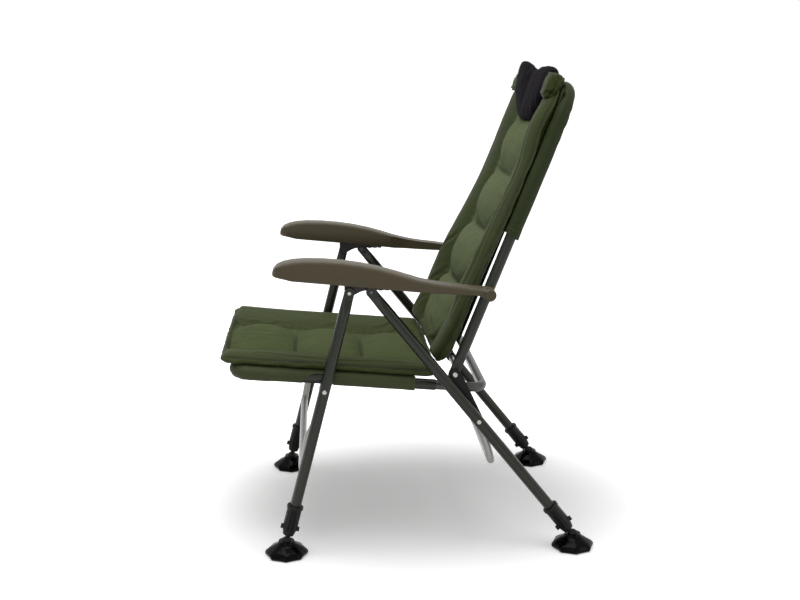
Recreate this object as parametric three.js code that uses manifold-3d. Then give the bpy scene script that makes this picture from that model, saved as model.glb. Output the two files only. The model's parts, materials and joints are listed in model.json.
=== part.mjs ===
// A folding carp-fishing chair with a padded seat and back, hollow moulded armrests,
// telescopic legs with twist-lock collars, and lobed mud feet on ball joints.
// Millimetres, +Z up. The occupant faces -Y and +X is the occupant's left.
import * as THREE from 'three';
import { mergeVertices } from 'three/addons/utils/BufferGeometryUtils.js';
import Module from 'manifold-3d';

const wasm = await Module();
wasm.setup();

// Driving dimensions
const framePlane = 262;          // side tubes of the seat and of the back
const tubeRadius = 12.5;
const clearance = 0.3;
const plateGap = 0.7;            // between a side tube and its hinge plate
const plateThickness = 4.5;
const plateInner = framePlane + tubeRadius + plateGap;
const plateOuter = plateInner + plateThickness;
const legPlane = plateOuter + clearance + tubeRadius;    // both legs of a side lie here
const barRadius = 8.5;           // stretchers
const loopRadius = 10.8;         // rear loop of the seat frame
const overrun = 1;               // cuts run past the faces that they open, and joined
                                 // pieces run into each other, by this much
const hingeHeight = 411.6;       // main pivot above the ground
const seatSlope = 5.0;           // degrees, front edge up
const backLean = 21.7;           // degrees from upright
const rearLegLean = 38.8;        // degrees from upright, foot to the rear
const frontLegLean = 14.45;      // degrees from upright, foot to the front

// Seat frame, measured from the main pivot in the slope of the seat
const seatTubeDrop = 30;
const seatFront = 484;
const seatCorner = 30;
const seatTubeEnd = 40;
const loopReach = 70;
const loopCorner = 34;
const socketDepth = 34;
const socketLap = 30;            // length of the loop inside its socket

// Back frame, measured from the main pivot along its tubes
const backLength = 672;
const backCorner = 70;
const hoodHem = 337;
const armPivotUp = 200.5;
const armPivotFore = 3;

// Legs
const rearLegOffset = 23.8;      // main pivot lies behind the rear leg's centreline
const rearLegTop = 268;          // rack pin above the main pivot, along the leg
const tieDown = 113.2;           // tie rod below the main pivot, along the leg
const frontPivotAhead = 290.9;   // front leg pivot ahead of the main pivot
const frontPivotDrop = 27.8;
const frontLegTop = 227.2;       // armrest pivot above the front leg pivot
const legBore = 9.9;
const innerLegRadius = 9.4;
const boreLength = 205;
const innerOverlap = 190;

// Lock collars and feet
const collarTop = 89;            // above the ball, along the leg
const collarLength = 59;
const collarRadius = 16.6;
const collarLip = 18.6;
const collarCap = 13;
const collarGrip = 26;           // length of the collar round the outer leg
const ballHeight = 33;
const ballRadius = 12;
const neckRadius = 5.5;
const footRadius = 49;
const footLip = 2.5;             // foot above the centre of its ball
const footLobes = 8;
const footLobeDepth = 5.5;

// Armrests, measured from the armrest pivot
const armFront = 472;
const armCrest = 80;
const armHub = 14;               // round rear end
const armHalfWidth = 28.5;
const armWall = 3.2;
const armRearGap = 2.5;          // between a side tube and the hub beside it
const armRearInner = framePlane + tubeRadius + armRearGap;
const armSolidRear = 58;         // the underside is hollow ahead of this
const armBevel = 5;

// Bolts
const screwRadius = 3;
const holeRadius = 3.4;
const mainHead = 6.4;
const sideHead = 5.2;
const armHead = 4.7;
const rivetHead = 4.2;
const nutHeight = 5;
const rivetTail = 0.6;

// Fabric
const fabric = 2.4;
const sleeveRadius = 15.6;
const sleeveBore = 12.9;
const hoodRadius = 16.6;         // the hood hangs looser, and to the rear
const padGap = 0.4;
const seatPadSide = 12;          // room between a pad's side and the legs beside it
const seatPadHalfWidth = legPlane - tubeRadius - seatPadSide;
const seatPadOver = 32;          // the pad laps over the front tube and its sleeve
const seatPadFront = seatFront + seatPadOver;
const seatPadRear = 56;
const seatPadThickness = 33;
const seatPadRim = 17;
const seatPadFrontCorner = 14;
const seatPadRearCorner = 18;
const backPadSide = 10;
const backPadHalfWidth = legPlane - tubeRadius - backPadSide;
const backPadBottom = 24;
const backPadShort = 4;          // its top stops just below the top of the tube
const backPadTop = backLength - backPadShort;
const backPadThickness = 25;
const backPadRim = 16;
const backPadTopCorner = 52;
const backPadBottomCorner = 24;
const seamWidth = 9;             // pinch of a stitched channel, to each side
const pillowHalfLength = 235;
const pillowHalfHeight = 66;
const pillowHalfDepth = 17.5;
const pillowFore = 38.5;
const pillowDrop = 14;           // middle of the headrest below the top of the pad

const deg = Math.PI / 180;
const up = new THREE.Vector3(0, 0, 1);
const along = new THREE.Vector3(0, 1, 0);
const lateral = new THREE.Vector3(1, 0, 0);

// Closed solids: a three.js geometry becomes a manifold and comes back
function solid(geometry) {
  const bare = geometry.index ? geometry.toNonIndexed() : geometry.clone();
  bare.deleteAttribute('normal');
  bare.deleteAttribute('uv');
  const merged = mergeVertices(bare, 0.0005);
  const kept = [];
  const index = merged.index.array;
  for (let i = 0; i < index.length; i += 3) {
    const [a, b, c] = [index[i], index[i + 1], index[i + 2]];
    if (a !== b && b !== c && c !== a) kept.push(a, b, c);
  }
  return new wasm.Manifold(new wasm.Mesh({
    numProp: 3,
    vertProperties: Float32Array.from(merged.attributes.position.array),
    triVerts: Uint32Array.from(kept),
  }));
}

function geometryOf(body) {
  const data = body.getMesh();
  const geometry = new THREE.BufferGeometry();
  geometry.setAttribute('position', new THREE.BufferAttribute(data.vertProperties, 3));
  geometry.setIndex(new THREE.BufferAttribute(data.triVerts, 1));
  return geometry;
}

function join(first, ...rest) {
  return rest.reduce((sum, next) => sum.add(next), first);
}

// A path of straight runs with round bends, sampled only where it turns
class BentPath extends THREE.Curve {
  constructor(corners, bend, bendSteps) {
    super();
    this.stops = [corners[0]];
    for (let i = 1; i < corners.length - 1; i += 1) {
      const into = corners[i].clone().sub(corners[i - 1]).normalize();
      const out = corners[i + 1].clone().sub(corners[i]).normalize();
      const turn = Math.acos(THREE.MathUtils.clamp(into.dot(out), -1, 1));
      if (turn < deg) {
        this.stops.push(corners[i]);
        continue;
      }
      const cut = bend * Math.tan(turn / 2);
      const start = corners[i].clone().addScaledVector(into, -cut);
      const inward = out.clone().addScaledVector(into, -into.dot(out)).normalize();
      const centre = start.clone().addScaledVector(inward, bend);
      for (let k = 0; k <= bendSteps; k += 1) {
        const a = turn * k / bendSteps;
        this.stops.push(centre.clone().addScaledVector(inward, -bend * Math.cos(a))
          .addScaledVector(into, bend * Math.sin(a)));
      }
    }
    this.stops.push(corners[corners.length - 1]);
  }
  getPoint(t) {
    const place = t * (this.stops.length - 1);
    const low = Math.min(Math.floor(place), this.stops.length - 2);
    return this.stops[low].clone().lerp(this.stops[low + 1], place - low);
  }
  getPointAt(t) { return this.getPoint(t); }
  getTangentAt(t) {
    const last = this.stops.length - 1;
    const place = Math.round(t * last);
    const before = this.stops[Math.max(place - 1, 0)];
    const after = this.stops[Math.min(place + 1, last)];
    const here = this.stops[place];
    const into = here.clone().sub(before).normalize();
    const out = after.clone().sub(here).normalize();
    return into.add(out).normalize();
  }
}

function disc(radius, sides) {
  const shape = new THREE.Shape();
  for (let i = 0; i < sides; i += 1) {
    const a = 2 * Math.PI * i / sides;
    if (i) shape.lineTo(radius * Math.cos(a), radius * Math.sin(a));
    else shape.moveTo(radius, 0);
  }
  shape.closePath();
  return shape;
}

function bentGeometry(corners, bend, radius, sides = 14, bendSteps = 4) {
  const path = new BentPath(corners, bend, bendSteps);
  return new THREE.ExtrudeGeometry(disc(radius, sides), {
    steps: path.stops.length - 1, extrudePath: path, curveSegments: 1,
  });
}

function bentTube(...options) {
  return solid(bentGeometry(...options));
}

// A cylinder along X between two planes
function pin(from, to, y, z, radius, sides = 10) {
  const geometry = new THREE.CylinderGeometry(radius, radius, Math.abs(to - from), sides);
  geometry.rotateZ(Math.PI / 2);
  geometry.translate((from + to) / 2, y, z);
  return solid(geometry);
}

// A plate of a Y-Z outline between two planes of X
function plate(shape, from, to, curveSegments = 7) {
  const geometry = new THREE.ExtrudeGeometry(shape, {
    depth: Math.abs(to - from), bevelEnabled: false, curveSegments,
  });
  geometry.rotateX(Math.PI / 2);
  geometry.rotateZ(Math.PI / 2);
  geometry.translate(Math.min(from, to), 0, 0);
  return solid(geometry);
}

// A revolved solid about the Z axis, from radius and height pairs
function turned(profile, sides = 20) {
  const points = profile.map(([radius, height]) => new THREE.Vector2(radius, height));
  const geometry = new THREE.LatheGeometry(points, sides);
  geometry.rotateX(Math.PI / 2);
  return solid(geometry);
}

// A tangent outline round two circles, for straps and hinge plates
function strap(y0, z0, r0, y1, z1, r1) {
  const shape = new THREE.Shape();
  const heading = Math.atan2(z1 - z0, y1 - y0);
  const spread = Math.acos((r0 - r1) / Math.hypot(y1 - y0, z1 - z0));
  shape.absarc(y0, z0, r0, heading + spread, heading - spread + 2 * Math.PI, false);
  shape.absarc(y1, z1, r1, heading - spread, heading + spread, false);
  shape.closePath();
  return shape;
}

// Materials
const finish = {
  frame: new THREE.MeshStandardMaterial({ color: 0x33403a, roughness: 0.32, metalness: 0.35 }),
  bar: new THREE.MeshStandardMaterial({ color: 0x8d9490, roughness: 0.35, metalness: 0.5 }),
  plastic: new THREE.MeshStandardMaterial({ color: 0x141516, roughness: 0.5, metalness: 0.0 }),
  arm: new THREE.MeshStandardMaterial({ color: 0x6a6055, roughness: 0.45, metalness: 0.0 }),
  bracket: new THREE.MeshStandardMaterial({ color: 0x2e2526, roughness: 0.5, metalness: 0.1 }),
  steel: new THREE.MeshStandardMaterial({ color: 0xb9bcbb, roughness: 0.3, metalness: 0.9 }),
  sling: new THREE.MeshStandardMaterial({ color: 0x2c3d22, roughness: 0.9, metalness: 0.0 }),
  pad: new THREE.MeshStandardMaterial({ color: 0x3b5230, roughness: 0.85, metalness: 0.0 }),
  pillow: new THREE.MeshStandardMaterial({ color: 0x16171c, roughness: 0.9, metalness: 0.0 }),
};

const chair = new THREE.Group();

function frameAt(parent, y, z, turn) {
  const group = new THREE.Group();
  group.position.set(0, y, z);
  group.rotation.x = turn * deg;
  parent.add(group);
  return group;
}

function piece(parent, name, body, material) {
  const mesh = new THREE.Mesh(geometryOf(body), material);
  mesh.name = name;
  parent.add(mesh);
  return mesh;
}

const sides = [['left', 1], ['right', -1]];

// Groups: each moving frame has its origin on its pivot
const seat = frameAt(chair, 0, hingeHeight, -seatSlope);
const back = frameAt(chair, 0, hingeHeight, -backLean);
const rear = frameAt(chair, 0, hingeHeight, rearLegLean);
const fore = frameAt(chair, -frontPivotAhead, hingeHeight - frontPivotDrop, -frontLegLean);
const armY = armPivotUp * Math.sin(backLean * deg) - armPivotFore * Math.cos(backLean * deg);
const armZ = hingeHeight + armPivotUp * Math.cos(backLean * deg) + armPivotFore * Math.sin(backLean * deg);
const arms = frameAt(chair, armY, armZ, 0);

// The front leg's pivot, in the slope of the seat
const slope = seatSlope * deg;
const tabY = -frontPivotAhead * Math.cos(slope) + frontPivotDrop * Math.sin(slope);
const tabZ = -frontPivotAhead * Math.sin(slope) - frontPivotDrop * Math.cos(slope);

// Seat frame: a front tube in a U, with sockets at its ends and a tab under each side
const tabInner = 268.4;
const tabOuter = 272.4;
const tabRadius = 12;
const tabRoot = 6;               // the tab narrows into the side of the tube
const seatZ = -seatTubeDrop;
function seatPath(end) {
  return [
    new THREE.Vector3(framePlane, end, seatZ),
    new THREE.Vector3(framePlane, -seatFront, seatZ),
    new THREE.Vector3(-framePlane, -seatFront, seatZ),
    new THREE.Vector3(-framePlane, end, seatZ),
  ];
}
let frontTube = bentTube(seatPath(-seatTubeEnd), seatCorner, tubeRadius);
for (const [, way] of sides) {
  const tab = plate(strap(tabY, tabZ, tabRadius, tabY, seatZ, tabRoot), way * tabInner, way * tabOuter);
  const socket = new THREE.CylinderGeometry(loopRadius + clearance, loopRadius + clearance, socketDepth, 14);
  socket.translate(way * framePlane, overrun - seatTubeEnd - socketDepth / 2, seatZ);
  frontTube = frontTube.add(tab).subtract(solid(socket))
    .subtract(pin(way * (tabInner - overrun), way * (tabOuter + overrun), tabY, tabZ, holeRadius));
}
piece(seat, 'seat_front_tube', frontTube, finish.frame);

// The rear loop slides into the sockets and carries the hinge lugs at the main pivot
const lugRadius = 12;
const lugRoot = 16;
const loopEnd = -seatTubeEnd - socketLap;
let loop = bentTube([
  new THREE.Vector3(framePlane, loopEnd, seatZ),
  new THREE.Vector3(framePlane, loopReach, seatZ),
  new THREE.Vector3(-framePlane, loopReach, seatZ),
  new THREE.Vector3(-framePlane, loopEnd, seatZ),
], loopCorner, loopRadius);
for (const [, way] of sides) {
  loop = loop.add(plate(strap(0, 0, lugRadius, 0, seatZ, lugRoot), way * tabInner, way * tabOuter))
    .subtract(pin(way * (tabInner - overrun), way * (tabOuter + overrun), 0, 0, holeRadius));
}
piece(seat, 'seat_rear_loop', loop, finish.frame);

// A flat panel of fabric, square at one end and with round corners at the other
function panel(halfWidth, square, round, radius, height) {
  const shape = new THREE.Shape();
  const way = Math.sign(round - square);
  shape.moveTo(-halfWidth, square);
  shape.lineTo(halfWidth, square);
  shape.lineTo(halfWidth, round - way * radius);
  shape.quadraticCurveTo(halfWidth, round, halfWidth - radius, round);
  shape.lineTo(-halfWidth + radius, round);
  shape.quadraticCurveTo(-halfWidth, round, -halfWidth, round - way * radius);
  shape.closePath();
  const geometry = new THREE.ExtrudeGeometry(shape, { depth: fabric, bevelEnabled: false, curveSegments: 4 });
  geometry.translate(0, 0, height);
  return solid(geometry);
}

// Seat sling: a panel sewn into a sleeve round the tube, notched where each tab comes through
const slingTop = seatZ + sleeveRadius;
const slingRear = 86;
const sleeveOverrun = 6;         // the bore of a sleeve runs out past its hem
const archRadius = 19;
const seatSling = sides.reduce((sling, [, way]) => sling.subtract(
  pin(way * framePlane, way * (framePlane + sleeveRadius + overrun), tabY, seatZ - sleeveRadius, archRadius),
), bentTube(seatPath(-slingRear), seatCorner, sleeveRadius)
  .add(panel(framePlane, -slingRear, -seatFront, seatCorner, slingTop - fabric))
  .subtract(bentTube(seatPath(sleeveOverrun - slingRear), seatCorner, sleeveBore)));
piece(seat, 'seat_sling', seatSling, finish.sling);

// Padded cushions. Across the width the top falls to a stitched seam on each side and
// swells into a fat roll at the edge, whose wall is drawn in at a second seam. Along the
// length stitched channels part the cells. The columns run from the middle to the edge.
const seamShare = 0.513;
const columnShares = [0, 0.22, 0.4, 0.47, seamShare, 0.56, 0.66, 0.76, 0.87, 0.95, 0.985, 1];
const seatTopShares = [0.56, 0.54, 0.4, 0.26, 0.1, 0.2, 0.4, 0.6, 0.92, 1, 0.94, 0.8];
const backTopShares = [0.9, 0.84, 0.64, 0.42, 0.18, 0.48, 0.86, 1, 0.84, 0.54, 0.36, 0.22];
const seatWallShares = [0.15, 0.36, 0.57, 0.8];    // heights up the side wall
const backWallShares = [0, 0.05, 0.11, 0.22];
const endWallShares = [0.1, 0.34, 0.56, 0.8];      // and up the two end walls
const drawnInShares = [0.35, 0, 0.2, 0.03];        // of the rim, at those heights
const rimRowShares = [0, 0.3, 1];                  // rows across the rim at an end
const rimRiseShares = [0.8, 0.94, 1];
const pinchedShare = 0.12;       // height left at a stitched channel, of the thickness
const sagShare = 0.16;           // a cell is lower beside a channel than in its middle
const rollDipShare = 0.12;       // a channel hardly marks the rolls

// Depth of a stitched seam across a distance, both in the same unit
function groove(distance, width) {
  return Math.exp(-((distance / width) ** 2));
}

function cushion(size, topShares, wallShares, channelShares) {
  const { halfWidth, length, thickness, rim } = size;
  const seams = channelShares.map((share) => share * length);
  const stations = [rim, ...seams, length - rim];
  const rows = rimRowShares.map((share) => share * rim);
  seams.forEach((place, i) => {
    rows.push((stations[i] + place) / 2, place - seamWidth * 1.5, place, place + seamWidth * 1.5);
  });
  rows.push((seams.at(-1) + length - rim) / 2, ...rimRowShares.map((share) => length - share * rim).reverse());
  const rises = rows.map((y, i) => {
    const rise = rimRiseShares[Math.min(i, rows.length - 1 - i, rimRiseShares.length - 1)];
    const cell = stations.findIndex((place) => place > y);
    if (cell < 1) return rise;
    const t = (y - stations[cell - 1]) / (stations[cell] - stations[cell - 1]);
    return rise * (1 - sagShare * (1 - 4 * t * (1 - t)));
  });
  const wide = columnShares.length - 1;
  const geometry = new THREE.BoxGeometry(1, 1, 1, wide * 2, rows.length - 1, wallShares.length - 1);
  const spots = geometry.attributes.position;
  for (let i = 0; i < spots.count; i += 1) {
    const column = Math.round(spots.getX(i) * wide * 2);
    const row = Math.round((spots.getY(i) + 0.5) * (rows.length - 1));
    const level = Math.round((spots.getZ(i) + 0.5) * (wallShares.length - 1));
    const [u, y] = [columnShares[Math.abs(column)], rows[row]];
    const farReach = Math.max(0, size.farCorner - (length - y));
    const nearReach = Math.max(0, size.nearCorner - y);
    const lost = farReach > 0
      ? size.farCorner - Math.sqrt(size.farCorner ** 2 - farReach ** 2)
      : size.nearCorner - Math.sqrt(size.nearCorner ** 2 - nearReach ** 2);
    const drawn = rim * drawnInShares[level];
    const inCells = u < seamShare ? rises[row] : 1;
    let top = thickness * topShares[Math.abs(column)] * Math.min(inCells, 1);
    for (const place of seams) {
      const depth = u <= seamShare ? 1 : rollDipShare;
      top -= Math.max(0, top - thickness * pinchedShare) * depth * groove(y - place, seamWidth);
    }
    const onSide = Math.abs(column) === wide;
    const onEnd = row === 0 || row === rows.length - 1;
    const nearEnd = rimRiseShares[Math.min(row, rows.length - 1 - row, rimRiseShares.length - 1)];
    let z = level ? top * (u < seamShare ? 1 : nearEnd) : 0;
    if (onEnd) z = top * endWallShares[level];
    if (onSide) z = thickness * wallShares[level];
    const x = Math.sign(column) * u * (halfWidth - lost - drawn);
    spots.setXYZ(i, x, drawn + (y / length) * (length - drawn * 2), z);
  }
  return solid(geometry);
}

const seatChannelShares = [0.357, 0.696];
const seatPadBody = cushion({
  halfWidth: seatPadHalfWidth, length: seatPadFront - seatPadRear, thickness: seatPadThickness,
  rim: seatPadRim, farCorner: seatPadRearCorner, nearCorner: seatPadFrontCorner,
}, seatTopShares, seatWallShares, seatChannelShares).translate([0, -seatPadFront, slingTop + padGap]);
piece(seat, 'seat_pad', seatPadBody, finish.pad);

// Back frame: an upright U whose ends are pressed flat for the main pivot
const pressedHalf = 4;
const pressedLength = 20;
const pressedTaper = 34;

// Presses a round tube along Z flat across X, from the height at which it is flat
function pressEnd(geometry, axisX, axisY, flat, round, halfThickness, halfWidth) {
  const spots = geometry.attributes.position;
  for (let i = 0; i < spots.count; i += 1) {
    const t = THREE.MathUtils.smoothstep((spots.getZ(i) - flat) / (round - flat), 0, 1);
    const px = (spots.getX(i) - axisX) / tubeRadius;
    const py = (spots.getY(i) - axisY) / tubeRadius;
    if (t === 1 || Math.hypot(px, py) > 1.01) continue;
    const power = 0.45 + 0.55 * t;
    const halfX = halfThickness + (tubeRadius - halfThickness) * t;
    const halfY = halfWidth + (tubeRadius - halfWidth) * t;
    spots.setXY(i, axisX + Math.sign(px) * Math.abs(px) ** power * halfX,
      axisY + Math.sign(py) * Math.abs(py) ** power * halfY);
  }
  return geometry;
}
const taperShares = [0, 0.25, 0.5, 0.75, 1];

const backEndRadius = 12;
const backEnd = (way) => [0, ...taperShares.map((share) => pressedLength + pressedTaper * share)]
  .map((height) => new THREE.Vector3(way * framePlane, 0, height));
const backShape = bentGeometry([
  ...backEnd(1),
  new THREE.Vector3(framePlane, 0, backLength),
  new THREE.Vector3(-framePlane, 0, backLength),
  ...backEnd(-1).reverse(),
], backCorner, tubeRadius);
for (const [, way] of sides) {
  pressEnd(backShape, way * framePlane, 0, pressedLength, pressedLength + pressedTaper, pressedHalf, backEndRadius);
}
let backTube = solid(backShape);
const tubeSide = tubeRadius + overrun;
for (const [, way] of sides) {
  backTube = backTube
    .add(pin(way * (framePlane - pressedHalf), way * (framePlane + pressedHalf), 0, 0, backEndRadius, 18))
    .subtract(pin(way * (framePlane - tubeSide), way * (framePlane + tubeSide), 0, 0, holeRadius))
    .subtract(pin(way * (framePlane - tubeSide), way * (framePlane + tubeSide), -armPivotFore, armPivotUp,
      holeRadius));
}
piece(back, 'back_tube', backTube, finish.frame);

// Back sling: a hood over the top of the U, and a panel that hangs from it between the tubes
const slingBottom = 62;
const slingHalfWidth = 246;
const slingLap = 60;             // the panel is sewn this far up behind the hood
const slingCorner = 10;
const hoodPath = (end, shift) => [
  new THREE.Vector3(framePlane, shift, end),
  new THREE.Vector3(framePlane, shift, backLength),
  new THREE.Vector3(-framePlane, shift, backLength),
  new THREE.Vector3(-framePlane, shift, end),
];
const slingFace = -sleeveRadius;
const backSling = bentTube(hoodPath(hoodHem, hoodRadius - sleeveRadius), backCorner, hoodRadius)
  .add(panel(framePlane, hoodHem, backLength, backCorner, 0).rotate([90, 0, 0])
    .translate([0, slingFace + fabric, 0]))
  .add(panel(slingHalfWidth, slingBottom, hoodHem + slingLap, slingCorner, 0).rotate([90, 0, 0])
    .translate([0, slingFace + fabric, 0]))
  .subtract(bentTube(hoodPath(hoodHem - sleeveOverrun, 0), backCorner, sleeveBore));
piece(back, 'back_sling', backSling, finish.sling);

// Headrest: a soft bolster with two lobes, pinched in the middle and gathered at both ends.
// Each pair is a place along the half length and how full the bolster is there.
const pillowShares = [[0, 0.88], [0.26, 1], [0.48, 0.985], [0.67, 0.82], [0.755, 0.6],
  [0.83, 0.7], [0.95, 0.64], [1, 0.36]];
function bolster(grow) {
  const half = [...pillowShares, [1, 0]];
  const profile = [...half.slice(1).reverse().map(([along, full]) => [full, -along]),
    ...half.map(([along, full]) => [full, along])];
  const geometry = new THREE.LatheGeometry(profile.map(([r, x]) => new THREE.Vector2(r, x)), 16);
  geometry.rotateZ(-Math.PI / 2);
  const spots = geometry.attributes.position;
  for (let i = 0; i < spots.count; i += 1) {
    const [x, y, z] = [spots.getX(i), spots.getY(i), spots.getZ(i)];
    const full = Math.hypot(y, z);
    const round = full > 0 ? 1 / full : 0;
    spots.setXYZ(i, x * pillowHalfLength + (Math.abs(x) > 0.99 ? Math.sign(x) * grow : 0),
      y * round * (pillowHalfDepth * Math.sqrt(full) + grow), z * round * (pillowHalfHeight * full + grow));
  }
  return solid(geometry).translate([0, -pillowFore, backPadTop - pillowDrop]);
}
piece(back, 'headrest', bolster(0), finish.pillow);

// Back pad: the same padded form, stood up in front of its sling and hollowed for the headrest
const backChannelShares = [0.234, 0.452, 0.669];
const backPad = cushion({
  halfWidth: backPadHalfWidth, length: backPadTop - backPadBottom, thickness: backPadThickness,
  rim: backPadRim, farCorner: backPadTopCorner, nearCorner: backPadBottomCorner,
}, backTopShares, backWallShares, backChannelShares)
  .rotate([90, 0, 0]).translate([0, slingFace - padGap, backPadBottom]);
piece(back, 'back_pad', backPad.subtract(bolster(padGap)), finish.pad);

// Legs: a tube with a pressed and drilled top, a cross bolt, and a bore for the inner leg
const legEndHalf = 3.4;
const legEndRadius = 11.5;
const legTaper = 36;
function outerLeg(top, bottom, boltAt) {
  const flat = top - pressedLength * 0.5;
  const profile = [[0, bottom], [tubeRadius, bottom],
    ...taperShares.map((share) => [tubeRadius, flat - legTaper * (1 - share)]), [tubeRadius, top], [0, top]];
  const tube = new THREE.LatheGeometry(profile.map(([r, z]) => new THREE.Vector2(r, z)), 14);
  tube.rotateX(Math.PI / 2);
  pressEnd(tube, 0, 0, flat, flat - legTaper, legEndHalf, legEndRadius);
  const bore = new THREE.CylinderGeometry(legBore, legBore, boreLength + overrun, 12);
  bore.rotateX(Math.PI / 2);
  bore.translate(0, 0, bottom + (boreLength - overrun) / 2);
  return join(solid(tube), pin(-legEndHalf, legEndHalf, 0, top, legEndRadius, 16))
    .subtract(solid(bore))
    .subtract(pin(-tubeSide, tubeSide, 0, top, holeRadius))
    .subtract(pin(-tubeSide, tubeSide, 0, boltAt, holeRadius));
}

// The inner leg narrows to a neck and a ball for its foot
const neckStart = 12;
const neckEnd = 17;
function innerLeg(top) {
  const ball = [];
  const ballSteps = 5;
  const neckAngle = Math.asin(neckRadius / ballRadius);
  for (let k = 0; k <= ballSteps; k += 1) {
    const a = Math.PI - (Math.PI - neckAngle) * k / ballSteps;
    ball.push([k ? ballRadius * Math.sin(a) : 0, ballRadius * Math.cos(a)]);
  }
  return turned([...ball, [neckRadius, neckStart], [innerLegRadius, neckEnd], [innerLegRadius, top], [0, top]], 12);
}

// The lock collar is ribbed, with a flared lip above, and two wings and a cone below
const ribCount = 10;
const ribDepth = 1.3;
const lipHeight = 9;
const lipBevel = 1.5;
const capEndRadius = 12.4;
const wingReach = 4.5;
const wingHalfWidth = 3.5;
const wingHeight = 9;
const collarPlay = 0.4;          // between the collar and the leg in it
const capPlay = 0.6;
function lockCollar() {
  const grip = new THREE.CylinderGeometry(collarRadius, collarRadius, collarLength - lipHeight, ribCount * 2);
  const spots = grip.attributes.position;
  for (let i = 0; i < spots.count; i += 1) {
    const a = Math.atan2(spots.getX(i), spots.getZ(i));
    const r = Math.hypot(spots.getX(i), spots.getZ(i));
    const shrink = 1 - (ribDepth / collarRadius) * (0.5 - 0.5 * Math.cos(ribCount * a));
    if (r > 0) spots.setXYZ(i, spots.getX(i) * shrink, spots.getY(i), spots.getZ(i) * shrink);
  }
  grip.rotateX(Math.PI / 2);
  grip.translate(0, 0, -(collarLength + lipHeight) / 2);
  const core = collarRadius - ribDepth;
  const lip = turned([[0, -lipHeight - overrun], [core, -lipHeight - overrun], [collarLip, lipBevel - lipHeight],
    [collarLip, -lipBevel], [collarLip - lipBevel, 0], [0, 0]], ribCount * 2);
  const capEnd = -collarLength - collarCap;
  const cap = turned([[0, capEnd], [capEndRadius, capEnd], [core, -collarLength - overrun],
    [core, overrun - collarLength], [0, overrun - collarLength]], ribCount * 2);
  const wings = new THREE.BoxGeometry((collarRadius + wingReach) * 2, wingHalfWidth * 2, wingHeight);
  wings.rotateZ(Math.PI / 2);
  wings.translate(0, 0, wingHeight / 2 - collarLength);
  const bore = turned([[0, capEnd - overrun], [innerLegRadius + capPlay, capEnd - overrun],
    [innerLegRadius + capPlay, -collarGrip - collarPlay], [tubeRadius + collarPlay, -collarGrip - collarPlay],
    [tubeRadius + collarPlay, overrun], [0, overrun]], 14);
  return join(solid(grip), lip, cap, solid(wings)).subtract(bore);
}

// A mud foot: a lobed dome with a turned-in rim and a socket that holds the ball of the leg.
// Each pair is a share of the radius and of the ball's height above the ground.
const footShares = [[0.9, 0], [0.985, 0.13], [1, 0.28], [0.94, 0.43], [0.8, 0.57], [0.56, 0.76], [0.4, 0.9]];
const footHubShare = 0.36;
const socketPlay = 1.1;
function mudFoot() {
  const profile = [[0, -ballHeight], ...footShares.map(([r, z]) => [footRadius * r, ballHeight * (z - 1)]),
    [footRadius * footHubShare, footLip], [0, footLip]];
  const lathe = new THREE.LatheGeometry(profile.map(([r, z]) => new THREE.Vector2(r, z)), footLobes * 3);
  lathe.rotateX(Math.PI / 2);
  const spots = lathe.attributes.position;
  for (let i = 0; i < spots.count; i += 1) {
    const r = Math.hypot(spots.getX(i), spots.getY(i));
    const a = Math.atan2(spots.getY(i), spots.getX(i));
    const weight = THREE.MathUtils.smoothstep(r, footRadius * footHubShare, footRadius * 0.9);
    const shrink = 1 - (footLobeDepth / footRadius) * weight * (0.5 - 0.5 * Math.cos(footLobes * a));
    spots.setXY(i, spots.getX(i) * shrink, spots.getY(i) * shrink);
  }
  const socket = new THREE.SphereGeometry(ballRadius + socketPlay, 12, 6);
  socket.rotateX(Math.PI / 2);
  const mouthTop = footLip + overrun;
  const mouth = turned([[0, overrun], [ballRadius - socketPlay, overrun], [ballRadius + socketPlay, mouthTop],
    [0, mouthTop]], 12);
  return solid(lathe).subtract(solid(socket)).subtract(mouth);
}

// A cross bolt with a domed head on the outside and a nut on the inside
function bolt(way, inner, outer, y, z, headRadius, nut = nutHeight) {
  const profile = [[0, 0], [headRadius, 0], [headRadius * 0.8, headRadius * 0.3], [0, headRadius * 0.4]];
  const head = new THREE.LatheGeometry(profile.map(([r, h]) => new THREE.Vector2(r, h)), 12);
  head.rotateZ(-way * Math.PI / 2);
  head.translate(way * outer, y, z);
  return join(
    pin(way * (inner - nut / 2), way * (outer + headRadius * 0.1), y, z, screwRadius),
    pin(way * (inner - nut), way * inner, y, z, headRadius * 0.9, 6),
    solid(head),
  );
}

const rackGap = 1.8;             // between a hinge plate and an arm bracket
const rackThickness = 6.1;
const rackInner = plateOuter + rackGap;
const rackOuter = rackInner + rackThickness;
const plateEnd = 12;
const plateHead = 15;
const legInner = legPlane - tubeRadius - clearance;
const legOuter = legPlane + tubeRadius + clearance;

// Ball heights along each leg
const rearBall = (-(hingeHeight - ballHeight) + rearLegOffset * Math.sin(rearLegLean * deg))
  / Math.cos(rearLegLean * deg);
const frontBall = -(hingeHeight - frontPivotDrop - ballHeight) / Math.cos(frontLegLean * deg);

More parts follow.
